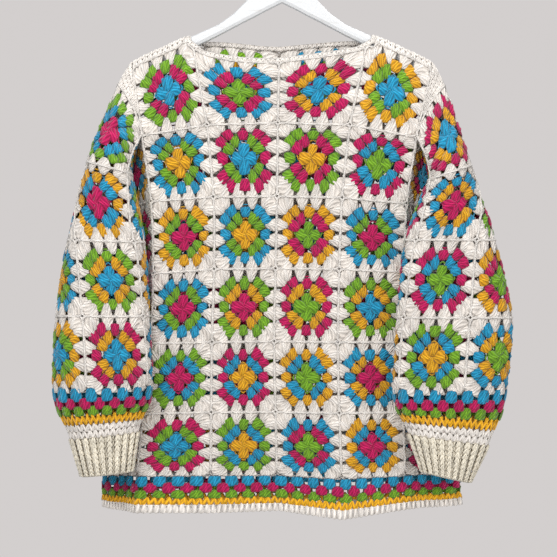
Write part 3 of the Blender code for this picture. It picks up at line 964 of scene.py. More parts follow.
@dataclass
class PieceMesh:
    """A piece as it grows, in batches of points and faces with their plies, painted light and yarns."""

    batches: list[tuple[np.ndarray, ...]] = field(default_factory=list)
    count: int = 0

    def add(self, points: np.ndarray, corners: np.ndarray, face_sizes: np.ndarray, plies: np.ndarray,
            painted_light: np.ndarray, yarns: np.ndarray) -> None:
        """Adds a batch.

        Args:
            points: Points in metres.
            corners: The faces' corners, counted within the batch.
            face_sizes: Corners of each face.
            plies: A UV place for each corner.
            painted_light: Painted light at each point, from 0 in painted shade to 1 fully lit.
            yarns: The yarn of each face, by its place in YARN_ORDER.
        """
        points = points.reshape(-1, 3)
        self.batches.append((points, corners + self.count, face_sizes, plies, painted_light, yarns))
        self.count += len(points)

    def build(self, name: str, materials: Materials) -> bpy.types.Object:
        """Makes the object.

        Args:
            name: The piece's name.
            materials: The yarns' materials.

        Returns:
            The object, at the origin.
        """
        mesh = bpy.data.meshes.new(name)
        points, corners, sizes, plies, painted_light, yarns = [np.concatenate(parts) for parts in zip(*self.batches)]
        mesh.vertices.add(len(points))
        mesh.vertices.foreach_set("co", points.astype(np.float32).ravel())
        mesh.loops.add(len(corners))
        mesh.loops.foreach_set("vertex_index", corners.astype(np.int32))
        mesh.polygons.add(len(sizes))
        starts = np.concatenate(([0], np.cumsum(sizes)[:-1]))
        mesh.polygons.foreach_set("loop_start", starts.astype(np.int32))
        slots = np.zeros(len(YARN_ORDER), np.int32)
        for slot, index in enumerate(np.unique(yarns)):
            slots[index] = slot
            mesh.materials.append(materials[YARN_ORDER[index]])
        mesh.polygons.foreach_set("material_index", slots[yarns])
        mesh.polygons.foreach_set("use_smooth", np.ones(len(sizes), bool))
        layer = mesh.uv_layers.new(name="plies")
        layer.data.foreach_set("uv", plies.astype(np.float32).ravel())
        # Stores the painted light that the yarn materials darken the colour by
        stored = mesh.attributes.new("painted_light", "FLOAT", "POINT")
        stored.data.foreach_set("value", painted_light.astype(np.float32))
        mesh.update(calc_edges=True)
        mesh.validate()
        piece = bpy.data.objects.new(name, mesh)
        bpy.context.scene.collection.objects.link(piece)
        return piece

    def stand_for(self, node: str, name: str, materials: Materials) -> bpy.types.Object:
        """Makes the object, hangs it on the body and hides the solid that it replaces.

        Args:
            node: The solid's node.
            name: The piece's name.
            materials: The yarns' materials.

        Returns:
            The object.
        """
        piece = self.build(name, materials)
        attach(piece, BODY)
        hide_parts(node)
        return piece


@dataclass(frozen=True)
class Laid:
    """Where copies of a stitch lie on a surface, one entry a copy."""

    column: np.ndarray
    row: np.ndarray
    turn: np.ndarray
    width: np.ndarray
    length: np.ndarray
    yarn: np.ndarray


def gather(rows: list[tuple]) -> Laid:
    """Places as arrays.

    Args:
        rows: (column, row, turn in degrees, width, length, yarn) for each copy; a turn of 0 points a
            stitch's head to the right, 90 up and -90 down.

    Returns:
        The same, one array a value.
    """
    columns = list(zip(*rows))
    numbers = [np.array(values, float) for values in columns[:5]]
    numbers[2] = np.radians(numbers[2])
    return Laid(*numbers, np.array([YARN_ORDER.index(yarn) for yarn in columns[5]]))


class Fit(NamedTuple):
    """How copies of a stitch stand on a surface: full thickness and middle's height in metres, and how
    much the copies differ, as a share."""

    thickness: float
    base: float
    unevenness: float


# How much copies of a stitch differ in turn, size and height, at an unevenness of 1
TURN_SPREAD = 0.10
SIZE_SPREAD = 0.06
LIFT_SPREAD = 0.0004

# A cord's plies for each turn and place, and its painted shading: darker where the beads narrow and on the
# side that faces in
CORD_PLIES = 0.4
CORD_PLY_STEP = 0.05
CORD_LEAST_PAINTED_LIGHT = 0.4
CORD_LIT = 0.6
CORD_LIT_SPREAD = 0.75
BEAD_SHADE = 0.8


def beaded(radius: float, thin: float, places: int) -> np.ndarray:
    """Radii of a chain's places, thick and thin by turns."""
    return radius * np.where(np.arange(places) % 2 == 0, 1.0, thin)


def lay_stitches(mesh: PieceMesh, grid: ClothGrid, stitch: Stitch, laid: Laid, fit: Fit, seed: int,
                 aspect: float = 1.0) -> None:
    """Copies a stitch over a surface.

    Args:
        mesh: The piece that takes the copies.
        grid: The surface.
        stitch: The shape to copy.
        laid: Where the copies lie.
        fit: How they stand on it.
        seed: Where the random draws start.
        aspect: Rows to a column's length; widths and lengths are both counted in columns.
    """
    draws = np.random.RandomState(seed)
    count = len(laid.column)
    turn = laid.turn + draws.normal(0.0, TURN_SPREAD * fit.unevenness, count)
    grown = 1.0 + draws.normal(0.0, SIZE_SPREAD * fit.unevenness, (count, 2))
    lift = fit.base + draws.normal(0.0, LIFT_SPREAD * fit.unevenness, count)
    x = stitch.points[None, :, 0] * (laid.width * grown[:, 0])[:, None]
    y = stitch.points[None, :, 1] * (laid.length * grown[:, 1])[:, None]
    along = x * np.sin(turn)[:, None] + y * np.cos(turn)[:, None]
    up = -x * np.cos(turn)[:, None] + y * np.sin(turn)[:, None]
    place, normal = grid.read(laid.column[:, None] + along, laid.row[:, None] - up * aspect)
    height = stitch.points[None, :, 2] * fit.thickness + lift[:, None]
    points = place + normal * height[..., None]
    size = len(stitch.points)
    corners = (stitch.corners[None, :] + (np.arange(count) * size)[:, None]).ravel()
    shifts = draws.uniform(0.0, 1.0, (count, 1, 2))
    plies = (stitch.plies[None, :, :] + shifts).reshape(-1, 2)
    mesh.add(points, corners, np.tile(stitch.face_sizes, count), plies, np.tile(stitch.painted_light, count),
             np.repeat(laid.yarn, len(stitch.face_sizes)))


def lay_cords(mesh: PieceMesh, grid: ClothGrid, column: np.ndarray, row: np.ndarray, radius: np.ndarray,
              height: float | np.ndarray, yarn: Yarn | np.ndarray, sides: int = 5, closed: bool = True,
              squash: float = 0.8) -> None:
    """Lays chains of stitches as cords on a surface.

    Args:
        mesh: The piece that takes the cords.
        grid: The surface.
        column: The cords' columns, a row for each cord.
        row: The cords' rows, in the same shape.
        radius: The radius at each of a cord's places, in metres.
        height: How far the cords' middles stand off the surface, in metres, or one for each place.
        yarn: The yarn of all the cords, or an array with one for each.
        sides: Sides round a cord.
        closed: Whether each cord closes into a loop.
        squash: A cord's height over its width.
    """
    cords, steps = column.shape
    place, normal = grid.read(column, row)
    centre = place + normal * height
    if closed:
        along = np.roll(centre, -1, axis=1) - np.roll(centre, 1, axis=1)
    else:
        along = np.gradient(centre, axis=1)
    beside = unit(np.cross(normal, along))
    angle = 2 * math.pi * np.arange(sides) / sides
    sideways = np.cos(angle)[None, None, :, None] * beside[:, :, None, :]
    upwards = squash * np.sin(angle)[None, None, :, None] * normal[:, :, None, :]
    ring = centre[:, :, None, :] + radius[None, :, None, None] * (sideways + upwards)
    index = np.arange(cords * steps * sides).reshape(cords, steps, sides)
    ahead = np.roll(index, -1, axis=1) if closed else index[:, 1:]
    here = index if closed else index[:, :-1]
    faces = np.stack((here, np.roll(here, -1, axis=2), np.roll(ahead, -1, axis=2), ahead), axis=-1)
    spans = faces.shape[1]
    u = np.arange(sides) / sides * CORD_PLIES
    v = np.arange(spans) * CORD_PLY_STEP
    u_end, v_end = u + CORD_PLIES / sides, v + CORD_PLY_STEP
    corner_u = np.stack((u, u_end, u_end, u), axis=-1)[None, None]
    corner_v = np.stack((v, v, v_end, v_end), axis=-1)[None, :, None, :]
    shape = faces.shape
    plies = np.stack((np.broadcast_to(corner_u, shape), np.broadcast_to(corner_v, shape)), axis=-1)
    # Painted shade on the cords: darker on the inward side and where the beads narrow
    facing = np.clip(CORD_LIT + CORD_LIT_SPREAD * np.sin(angle), 0.0, 1.0)
    lit = CORD_LEAST_PAINTED_LIGHT + (1 - CORD_LEAST_PAINTED_LIGHT) * facing
    bead = (radius / radius.max()) ** BEAD_SHADE
    painted_light = np.broadcast_to(lit[None, None, :] * bead[None, :, None], index.shape).ravel()
    if isinstance(yarn, Yarn):
        yarn = np.full(cords, YARN_ORDER.index(yarn))
    yarns = np.repeat(yarn, spans * sides)
    corners, sizes = faces.reshape(-1), np.full(cords * spans * sides, 4)
    plies = plies.reshape(-1, 2)
    if not closed:
        first = index[:, 0, ::-1].reshape(-1)
        last = index[:, -1, :].reshape(-1)
        corners = np.concatenate((corners, first, last))
        sizes = np.concatenate((sizes, np.full(2 * cords, sides)))
        plies = np.concatenate((plies, np.zeros((2 * cords * sides, 2))))
        yarns = np.concatenate((yarns, yarn, yarn))
    mesh.add(ring, corners, sizes, plies, painted_light, yarns)


# The squares' colours: centre, second round and third round, left to right as seen from outside
YOKE_FRONT = ["BPG GPB BYP BGY"]
BODY_FRONT = [
    "PBY YGB BGP YPG GBP BPY",
    "YGP PGY YGB GPY PGB BYP",
    "BYG PGB PYG GYP BYG YPB",
    "YPB PBG YBP GBY PYB GPB",
    "GBY BGP YBG GPB PBY YGP",
]
YOKE_BACK = ["YGP PGB BYG GBP"]
BODY_BACK = [
    "GPY BYG PGB YBP GPY BGP",
    "PYB YGP BPY GYB PBG YPG",
    "BGP PBY GPB YPG BYP PGY",
    "YBG GYP PGY BPG YGB GPB",
    "PGB BPG YBP PYB GBY BYG",
]
SLEEVE_LEFT = ["PBG GYB YPG BGY", "PBY YGB BYP GPB", "BYG PBY GPB YGB", "BYP GPB PGY BGY"]
SLEEVE_RIGHT = ["GPB YGP PYG BYP", "YPG BPY GBP PYB", "GPY PGB YPB GBP", "GYB BPG PBY YBG"]
STRIPES = (Yarn.BLUE, Yarn.PINK, Yarn.GREEN, Yarn.YELLOW)


class Round(NamedTuple):
    """A round of clusters in a square.

    It has the place of its yarn in the square's code, and the clusters' turns in degrees, distance from
    the middle, width and length in squares.
    """

    yarn_place: int
    turns: tuple[float, ...]
    radius: float
    width: float
    length: float


CORNERS = (45.0, 135.0, 225.0, 315.0)
SIDES = (0.0, 90.0, 180.0, 270.0)


def beside_corners(lean: float) -> tuple[float, ...]:
    """Turns of the two clusters at each corner of a square, in degrees."""
    return tuple(corner + side * lean for corner in CORNERS for side in (-1, 1))


ROUNDS = (
    Round(0, SIDES, 0.093, 0.215, 0.205),
    Round(1, beside_corners(16.0), 0.247, 0.185, 0.175),
    Round(2, SIDES, 0.318, 0.205, 0.165),
    Round(2, beside_corners(11.5), 0.385, 0.200, 0.180),
)


class EdgePlace(NamedTuple):
    """A white cluster's place along its side, with how it leans, its distance, width and length."""

    along: float
    lean: float
    radius: float
    width: float
    length: float


EDGE_HALF = (EdgePlace(0.106, 3.0, 0.418, 0.240, 0.205), EdgePlace(0.332, 27.0, 0.424, 0.305, 0.215))
EDGE_PLACES = EDGE_HALF + tuple(place._replace(along=-place.along, lean=-place.lean) for place in EDGE_HALF)


class Chain(NamedTuple):
    """A closed chain in each square.

    It has half its width in squares, how square it is, its stitches, their radius and height in metres,
    and the place of its yarn in the square's code, or none for white.
    """

    half: float
    power: float
    stitches: int
    radius: float
    height: float
    yarn_place: int | None


CHAINS = (
    Chain(0.215, 1.2, 16, 0.0016, -0.0022, 0),
    Chain(0.300, 2.4, 18, 0.0010, -0.0014, 1),
    Chain(0.392, 3.2, 24, 0.0011, -0.0014, 2),
    Chain(0.4975, 24.0, 56, 0.0019, 0.0012, None),
)
CHAIN_SAMPLES = 1441
CHAIN_THIN = 0.7
SUNK_HEIGHT = -0.0032

CLUSTER_FIT = Fit(0.0066, -0.0006, 1.0)
EDGE_FIT = Fit(CLUSTER_FIT.thickness * 0.86, -0.0006, 0.6)
EDGE_SEED = 100

# Plain stitches, their sizes in shares of their pitch or of their row's height
DOWNWARDS = -90.0
PAIR_WIDTH = 0.76
PAIR_OFFSET = 0.22
PAIR_LEAN = 22.0
SINGLE_WIDTH = 1.15
PLAIN_OVERLAP = 1.35
PLAIN_FIT = Fit(0.0042, -0.0006, 0.4)


@dataclass
class PlainRows:
    """Rows of plain stitches on a surface, upright ones or pairs that lean together in a V."""

    grid: ClothGrid
    columns: tuple[float, float]
    lines: tuple[float, ...]
    stitches: int
    yarn: Yarn
    seed: int
    legs: int = 2
    fit: Fit = PLAIN_FIT

    def lay(self, mesh: PieceMesh, bead: Stitch) -> None:
        """Adds the rows to a piece.

        Args:
            mesh: The piece that takes them.
            bead: The plain stitch to copy.
        """
        start, end = self.columns
        pitch = (end - start) / self.stitches
        aspect = self.grid.aspect(self.lines[0], self.lines[-1])
        leans = (-1.0, 1.0) if self.legs == 2 else (0.0,)
        width = pitch * (PAIR_WIDTH if self.legs == 2 else SINGLE_WIDTH)
        rows = []
        for top, low in zip(self.lines, self.lines[1:]):
            length = (low - top) * PLAIN_OVERLAP / aspect
            for place in range(self.stitches):
                column = start + (place + 0.5) * pitch
                rows += [(column + lean * pitch * PAIR_OFFSET, 0.5 * (top + low),
                          DOWNWARDS + PAIR_LEAN * lean, width, length, self.yarn) for lean in leans]
        lay_stitches(mesh, self.grid, bead, gather(rows), self.fit, self.seed, aspect)


@dataclass
class GrannySquares:
    """A panel or tube of granny squares with the white rows that join them."""

    node: str
    grid: ClothGrid
    layout: list[str]
    flat: tuple[float, float]
    seed: int
    lowered: tuple[float, ...] = ()
    plain: tuple[PlainRows, ...] = ()
    open_from: float = math.inf

    def middles(self) -> list[tuple[float, float]]:
        """Each square's middle column and row."""
        return [(column + 0.5, row + 0.5) for row, line in enumerate(self.layout)
                for column in range(len(line.split()))]

    def clusters(self) -> list[tuple]:
        """Places the coloured clusters of every square.

        Returns:
            Rows for gather().
        """
        rows = []
        for row, (line, lowered) in enumerate(zip_longest(self.layout, self.lowered, fillvalue=0.0)):
            for column, code in enumerate(line.split()):
                rows += self.square(column + 0.5, row + 0.5 + lowered, code)
        return rows

    def square(self, column: float, row: float, code: str) -> list[tuple]:
        """Places of one square's clusters.

        Args:
            column: Its middle column.
            row: Its middle row.
            code: The letters of its first, second and third rounds' yarns.

        Returns:
            Rows for gather().
        """
        places = []
        for worked in ROUNDS:
            for turn in worked.turns:
                way = math.radians(turn)
                places.append((column + worked.radius * math.cos(way), row - worked.radius * math.sin(way),
                               turn, worked.width, worked.length, Yarn(code[worked.yarn_place])))
        return places

    def edges(self) -> list[tuple]:
        """Places the white clusters round every square.

        Returns:
            Rows for gather().
        """
        rows = []
        for column, row in self.middles():
            for turn in SIDES:
                way = math.radians(turn)
                for place in EDGE_PLACES:
                    x = place.radius * math.cos(way) - place.along * math.sin(way)
                    y = place.radius * math.sin(way) + place.along * math.cos(way)
                    rows.append((column + x, row - y, turn + place.lean, place.width, place.length,
                                 Yarn.WHITE))
        return rows

    def chain_paths(self, chain: Chain) -> tuple[np.ndarray, np.ndarray]:
        """Closed chains round every square, with two places for each stitch.

        Args:
            chain: The chain that each square has.

        Returns:
            Columns and rows, a line for each square.
        """
        across, up = squared_round(np.linspace(0.0, 2 * math.pi, CHAIN_SAMPLES), chain.power)
        shares = path_lengths(np.stack((across, up), axis=1))
        wanted = np.arange(chain.stitches * 2) / (chain.stitches * 2)
        across, up = np.interp(wanted, shares, across), np.interp(wanted, shares, up)
        columns, rows = np.array(self.middles()).T[:, :, None]
        return columns + chain.half * across[None, :], rows - chain.half * up[None, :]

    def yarns_of(self, place: int | None) -> Yarn | np.ndarray:
        """The yarn of each square's round, or white.

        Args:
            place: The round's place in a square's code, or none.

        Returns:
            White, or each square's yarn by its place in YARN_ORDER.
        """
        if place is None:
            return Yarn.WHITE
        codes = [code for line in self.layout for code in line.split()]
        return np.array([YARN_ORDER.index(Yarn(code[place])) for code in codes])

    def make(self, stitches: Stitches, materials: Materials) -> list[bpy.types.Object]:
        """Builds the squares and their chains, and the plain rows that belong to them.

        Args:
            stitches: The stitches to copy.
            materials: The yarns' materials.

        Returns:
            The two pieces.
        """
        worked = PieceMesh()
        lay_stitches(worked, self.grid, stitches.cluster, gather(self.clusters()), CLUSTER_FIT, self.seed)
        lay_stitches(worked, self.grid, stitches.wedge, gather(self.edges()), EDGE_FIT,
                     self.seed + EDGE_SEED)
        squares = worked.stand_for(self.node, self.node + "_squares", materials)
        joins = PieceMesh()
        for chain in CHAINS:
            columns, rows = self.chain_paths(chain)
            heights = np.where(rows < self.open_from, chain.height, SUNK_HEIGHT)[..., None]
            lay_cords(joins, self.grid, columns, rows, beaded(chain.radius, CHAIN_THIN, rows.shape[1]),
                      heights, self.yarns_of(chain.yarn_place))
        for plain in self.plain:
            plain.lay(joins, stitches.bead)
        chains = joins.stand_for(self.node, self.node + "_joins", materials)
        return [squares, chains]


# Striped rows: their clusters' places by turns, and sizes in shares of their pitch or of their row
STRIPE_CLUSTERS = 4
STRIPE_OFFSETS = (0.25, 0.75)
STRIPE_WIDTH = 0.94
STRIPE_OVERLAP = 1.55
STRIPE_FIT = Fit(0.0066, 0.0004, 0.8)
LAST_STRIPE_STITCHES = 10
LAST_STRIPE_FIT = PLAIN_FIT._replace(thickness=0.0056)
LAST_STRIPE_SEED = 5
PLAIN_STITCHES = 8
PLAIN_SEED = 6


@dataclass
class StripeRows:
    """Striped rows round the hem or a sleeve, then plain white rows where it has them."""

    node: str
    grid: ClothGrid
    blocks: int
    lines: tuple[float, ...]
    seed: int
    plain_lines: tuple[float, ...] = ()

    def make(self, stitches: Stitches, materials: Materials) -> list[bpy.types.Object]:
        """Builds the rows as one piece.

        Args:
            stitches: The stitches to copy.
            materials: The yarns' materials.

        Returns:
            The piece.
        """
        mesh = PieceMesh()
        rows = []
        pitch = 1.0 / STRIPE_CLUSTERS
        aspect = self.grid.aspect(self.lines[0], self.lines[-1])
        for index, yarn in enumerate(STRIPES[:-1]):
            top, end = self.lines[index:index + 2]
            for place in range(self.blocks * STRIPE_CLUSTERS):
                column = (place + STRIPE_OFFSETS[index % 2]) * pitch
                rows.append((column, 0.5 * (top + end), DOWNWARDS, pitch * STRIPE_WIDTH,
                             (end - top) * STRIPE_OVERLAP / aspect, yarn))
        lay_stitches(mesh, self.grid, stitches.row_cluster, gather(rows), STRIPE_FIT, self.seed, aspect)
        columns = (0.0, float(self.blocks))
        last = PlainRows(self.grid, columns, self.lines[-2:], self.blocks * LAST_STRIPE_STITCHES,
                         STRIPES[-1], self.seed + LAST_STRIPE_SEED, fit=LAST_STRIPE_FIT)
        last.lay(mesh, stitches.bead)
        if self.plain_lines:
            plain = PlainRows(self.grid, columns, self.plain_lines, self.blocks * PLAIN_STITCHES,
                              Yarn.WHITE, self.seed + PLAIN_SEED)
            plain.lay(mesh, stitches.bead)
        return [mesh.stand_for(self.node, self.node + "_rows", materials)]


EDGE_CORD_RADIUS = 0.0014
EDGE_CORD_THIN = 0.74


@dataclass
class PlainEdge:
    """A plain worked edge: rows of single stitches with cords along its lines."""

    node: str
    rows: PlainRows
    cords: tuple[float, ...]
    closed: bool = True

    def make(self, stitches: Stitches, materials: Materials) -> list[bpy.types.Object]:
        """Builds the edge as one piece.

        Args:
            stitches: The stitches to copy.
            materials: The yarns' materials.

        Returns:
            The piece.
        """
        mesh = PieceMesh()
        self.rows.lay(mesh, stitches.bead)
        places = self.rows.stitches * 2 + (0 if self.closed else 1)
        columns = np.linspace(*self.rows.columns, places, endpoint=not self.closed)[None, :]
        radius = beaded(EDGE_CORD_RADIUS, EDGE_CORD_THIN, places)
        for line in self.cords:
            lay_cords(mesh, self.rows.grid, columns, np.full_like(columns, line), radius, 0.0,
                      self.rows.yarn, closed=self.closed)
        return [mesh.stand_for(self.node, self.node + "_rows", materials)]


# The cuffs: ribs and the grooves between them, in shares of a rib's pitch or of a row's height
CUFF_LINES = (5.09, 5.95)
CUFF_ROWS = 8
RIB_OFFSET = 0.13
RIB_LEAN = 18.0
RIB_WIDTH = 0.46
RIB_OVERLAP = 1.5
RIB_FIT = Fit(0.0050, 0.0014, 0.35)
GROOVE_WIDTH = 0.60
GROOVE_OVERLAP = 1.25
GROOVE_FIT = Fit(0.0034, -0.0018, 0.5)
CUFF_CORD_SHIFTS = (-0.01, 0.02)
CUFF_CORD_PLACES = 6
CUFF_CORD_RADIUS = 0.0015
CUFF_CORD_THIN = 0.75
CUFF_CORD_HEIGHT = -0.0004


@dataclass
class RibbedCuff:
    """A cuff of raised ribs over a plain inside."""

    node: str
    grid: ClothGrid
    seed: int

    def make(self, stitches: Stitches, materials: Materials) -> list[bpy.types.Object]:
        """Builds the cuff as one piece.

        Args:
            stitches: The stitches to copy.
            materials: The yarns' materials.

        Returns:
            The piece.
        """
        mesh = PieceMesh()
        start, end = CUFF_LINES
        height = (end - start) / CUFF_ROWS
        aspect = self.grid.aspect(start, end)
        length = height / aspect
        pitch = SLEEVE_COLUMNS / CUFF_RIBS
        raised, sunk = [], []
        for row in range(CUFF_ROWS):
            middle = start + (row + 0.5) * height
            for rib in range(CUFF_RIBS):
                raised += [(rib * pitch + lean * pitch * RIB_OFFSET, middle, DOWNWARDS + RIB_LEAN * lean,
                            pitch * RIB_WIDTH, length * RIB_OVERLAP, Yarn.CREAM) for lean in (-1, 1)]
                sunk.append(((rib + 0.5) * pitch, middle, DOWNWARDS, pitch * GROOVE_WIDTH,
                             length * GROOVE_OVERLAP, Yarn.CREAM))
        lay_stitches(mesh, self.grid, stitches.bead, gather(raised), RIB_FIT, self.seed, aspect)
        lay_stitches(mesh, self.grid, stitches.bead, gather(sunk), GROOVE_FIT, self.seed + 1, aspect)
        places = CUFF_RIBS * CUFF_CORD_PLACES
        columns = (np.arange(places) * SLEEVE_COLUMNS / places)[None, :]
        radius = beaded(CUFF_CORD_RADIUS, CUFF_CORD_THIN, places)
        for line, shift in zip(CUFF_LINES, CUFF_CORD_SHIFTS):
            lay_cords(mesh, self.grid, columns, np.full_like(columns, line + shift), radius,
                      CUFF_CORD_HEIGHT, Yarn.CREAM)
        return [mesh.stand_for(self.node, self.node + "_ribs", materials)]


BAND_HEIGHT = 6.0
BAND_INSET = 1.5
BAND_SMOOTHINGS = 2
NECK_STEP = 0.25
NECK_STEPS = 9
PROBE = 0.004


class NeckEdge:
    """The neck's edge on one yoke as a narrow surface that stands on towards the neck."""

    def __init__(self, face: int) -> None:
        """Works out the edge's places, normals and the way towards the neck.

        Args:
            face: -1 in front and 1 behind.
        """
        self.yoke = YokeShape(face)
        wraps = [NECK_START + WRAP_SHARE * share for share in (0, 1 / 3, 2 / 3, 1)]
        inner = [NECK_START + NECK_STEP * step for step in range(1, NECK_STEPS + 1)]
        columns = wraps + inner + [YOKE_COLUMNS - place for place in reversed(wraps)]
        edge = [self.yoke.point(column, 0.0) for column in columns]
        last = len(edge) - 1
        frames = []
        for index, (column, place) in enumerate(zip(columns, edge)):
            normal = self.normal(column, face)
            along = edge[min(index + 1, last)] - edge[max(index - 1, 0)]
            if index in (0, last):
                along = Vector((0, face if index == 0 else -face, 0))
            frames.append([place, normal, normal.cross(along).normalized()])
        for _ in range(BAND_SMOOTHINGS):
            ways = [frame[2] for frame in frames]
            for index in range(1, last):
                mixed = ways[index - 1] + 2 * ways[index] + ways[index + 1]
                normal = frames[index][1]
                frames[index][2] = (mixed - normal * mixed.dot(normal)).normalized()
        self.frames = frames
        places = np.array([tuple(frame[0]) for frame in frames])
        self.shares = path_lengths(places)

    def normal(self, column: float, face: int) -> Vector:
        """The outward normal at the yoke's top edge.

        Args:
            column: The column, left to right as seen from outside.
            face: -1 in front and 1 behind.

        Returns:
            The normal.
        """
        start = self.yoke.wrap_start(column)
        place = self.yoke.point(column, 0.0)
        if start < 90.0:
            angle = math.radians(start)
            fall = 0.5 * (ridge_drop(abs(place.x) + 1) - ridge_drop(abs(place.x) - 1))
            fall = math.copysign(fall, place.x) * math.cos(angle)
            return Vector((fall, face * math.sin(angle), math.cos(angle))).normalized()
        down = self.yoke.point(column, PROBE) - place
        near_wrap = min(column, YOKE_COLUMNS - column) < NECK_START + 2 * WRAP_SHARE
        across = Vector((-face, 0, 0))
        if not near_wrap:
            across = self.yoke.point(column + PROBE, 0.0) - self.yoke.point(column - PROBE, 0.0)
        return down.cross(across).normalized()

    def point(self, share: float, row: float) -> Vector:
        """A point of the band.

        Args:
            share: How far along the edge, from 0 to 1.
            row: From the band's own edge, 0, to the yoke's, 1.

        Returns:
            The point in millimetres.
        """
        index = min(int(np.searchsorted(self.shares, share, side="right")) - 1, len(self.frames) - 2)
        mix = (share - self.shares[index]) / (self.shares[index + 1] - self.shares[index])
        mix = min(max(mix, 0.0), 1.0)
        place, normal, away = [start.lerp(end, mix)
                               for start, end in zip(self.frames[index], self.frames[index + 1])]
        return place + away * BAND_HEIGHT * (1 - row) - normal * BAND_INSET


# How far along the wood's grain and across it a noise is stretched
GRAIN_SCALE = (14.0, 160.0, 160.0)
GRAIN_STEPS = (0.26, 0.42)


@dataclass(frozen=True)
class PaintedWood:
    """White paint on the wooden hanger, thin enough for the grain to show a little."""

    colour: tuple[float, float, float] = (0.66, 0.67, 0.68)
    worn: tuple[float, float, float] = (0.55, 0.54, 0.52)

    def material(self) -> bpy.types.Material:
        """Builds the paint.

        Returns:
            The material.
        """
        made, graph, shader = start_material("white_painted_wood")
        place = graph.add("TexCoord", "Object", {})
        stretched = graph.add("Mapping", "Vector", {"Vector": place, "Scale": GRAIN_SCALE})
        grain = graph.add("TexNoise", "Fac", {"Vector": stretched, "Scale": 1.0, "Detail": 4.0})
        painted = graph.add("ValToRGB", "Color", {"Fac": grain})
        steps = painted.node.color_ramp.elements
        for index, colour in enumerate((self.worn, self.colour)):
            steps[index].position = GRAIN_STEPS[index]
            steps[index].color = (*colour, 1.0)
        bump = graph.add("Bump", "Normal", {"Height": grain, "Strength": 0.25, "Distance": 0.0004})
        graph.fill(shader, {"Base Color": painted, "Normal": bump, "Roughness": 0.42, "Coat Weight": 0.15})
        return made


@dataclass(frozen=True)
class PlatedWire:
    """Bright plating on the hook, a little dulled where a rail has rubbed it."""

    colour: tuple[float, float, float] = (0.72, 0.72, 0.73)

    def material(self) -> bpy.types.Material:
        """Builds the plating.

        Returns:
            The material.
        """
        made, graph, shader = start_material("plated_wire")
        place = graph.add("TexCoord", "Object", {})
        rubbed = graph.add("TexNoise", "Fac", {"Vector": place, "Scale": 220.0, "Detail": 4.0})
        rough = graph.add("MapRange", "Result", {"Value": rubbed, "To Min": 0.16, "To Max": 0.42})
        graph.fill(shader, {"Metallic": 1.0, "Base Color": (*self.colour, 1.0), "Roughness": rough})
        return made


class SoftLight(NamedTuple):
    """A square light that points at the garment: its place, side in metres, watts and colour."""

    name: str
    place: tuple[float, float, float]
    size: float
    power: float
    colour: tuple[float, float, float]


LIGHTS = (
    SoftLight("key_window", (-0.9, -2.2, 0.5), 1.5, 42.0, (1.0, 0.985, 0.96)),
    SoftLight("fill_window", (1.6, -1.9, -0.3), 1.8, 20.0, (1.0, 0.97, 0.93)),
    SoftLight("top_softbox", (0.1, -0.5, 1.1), 1.2, 14.0, (1.0, 1.0, 1.0)),
    SoftLight("back_window", (0.4, 2.3, 0.3), 1.8, 36.0, (0.97, 0.98, 1.0)),
)


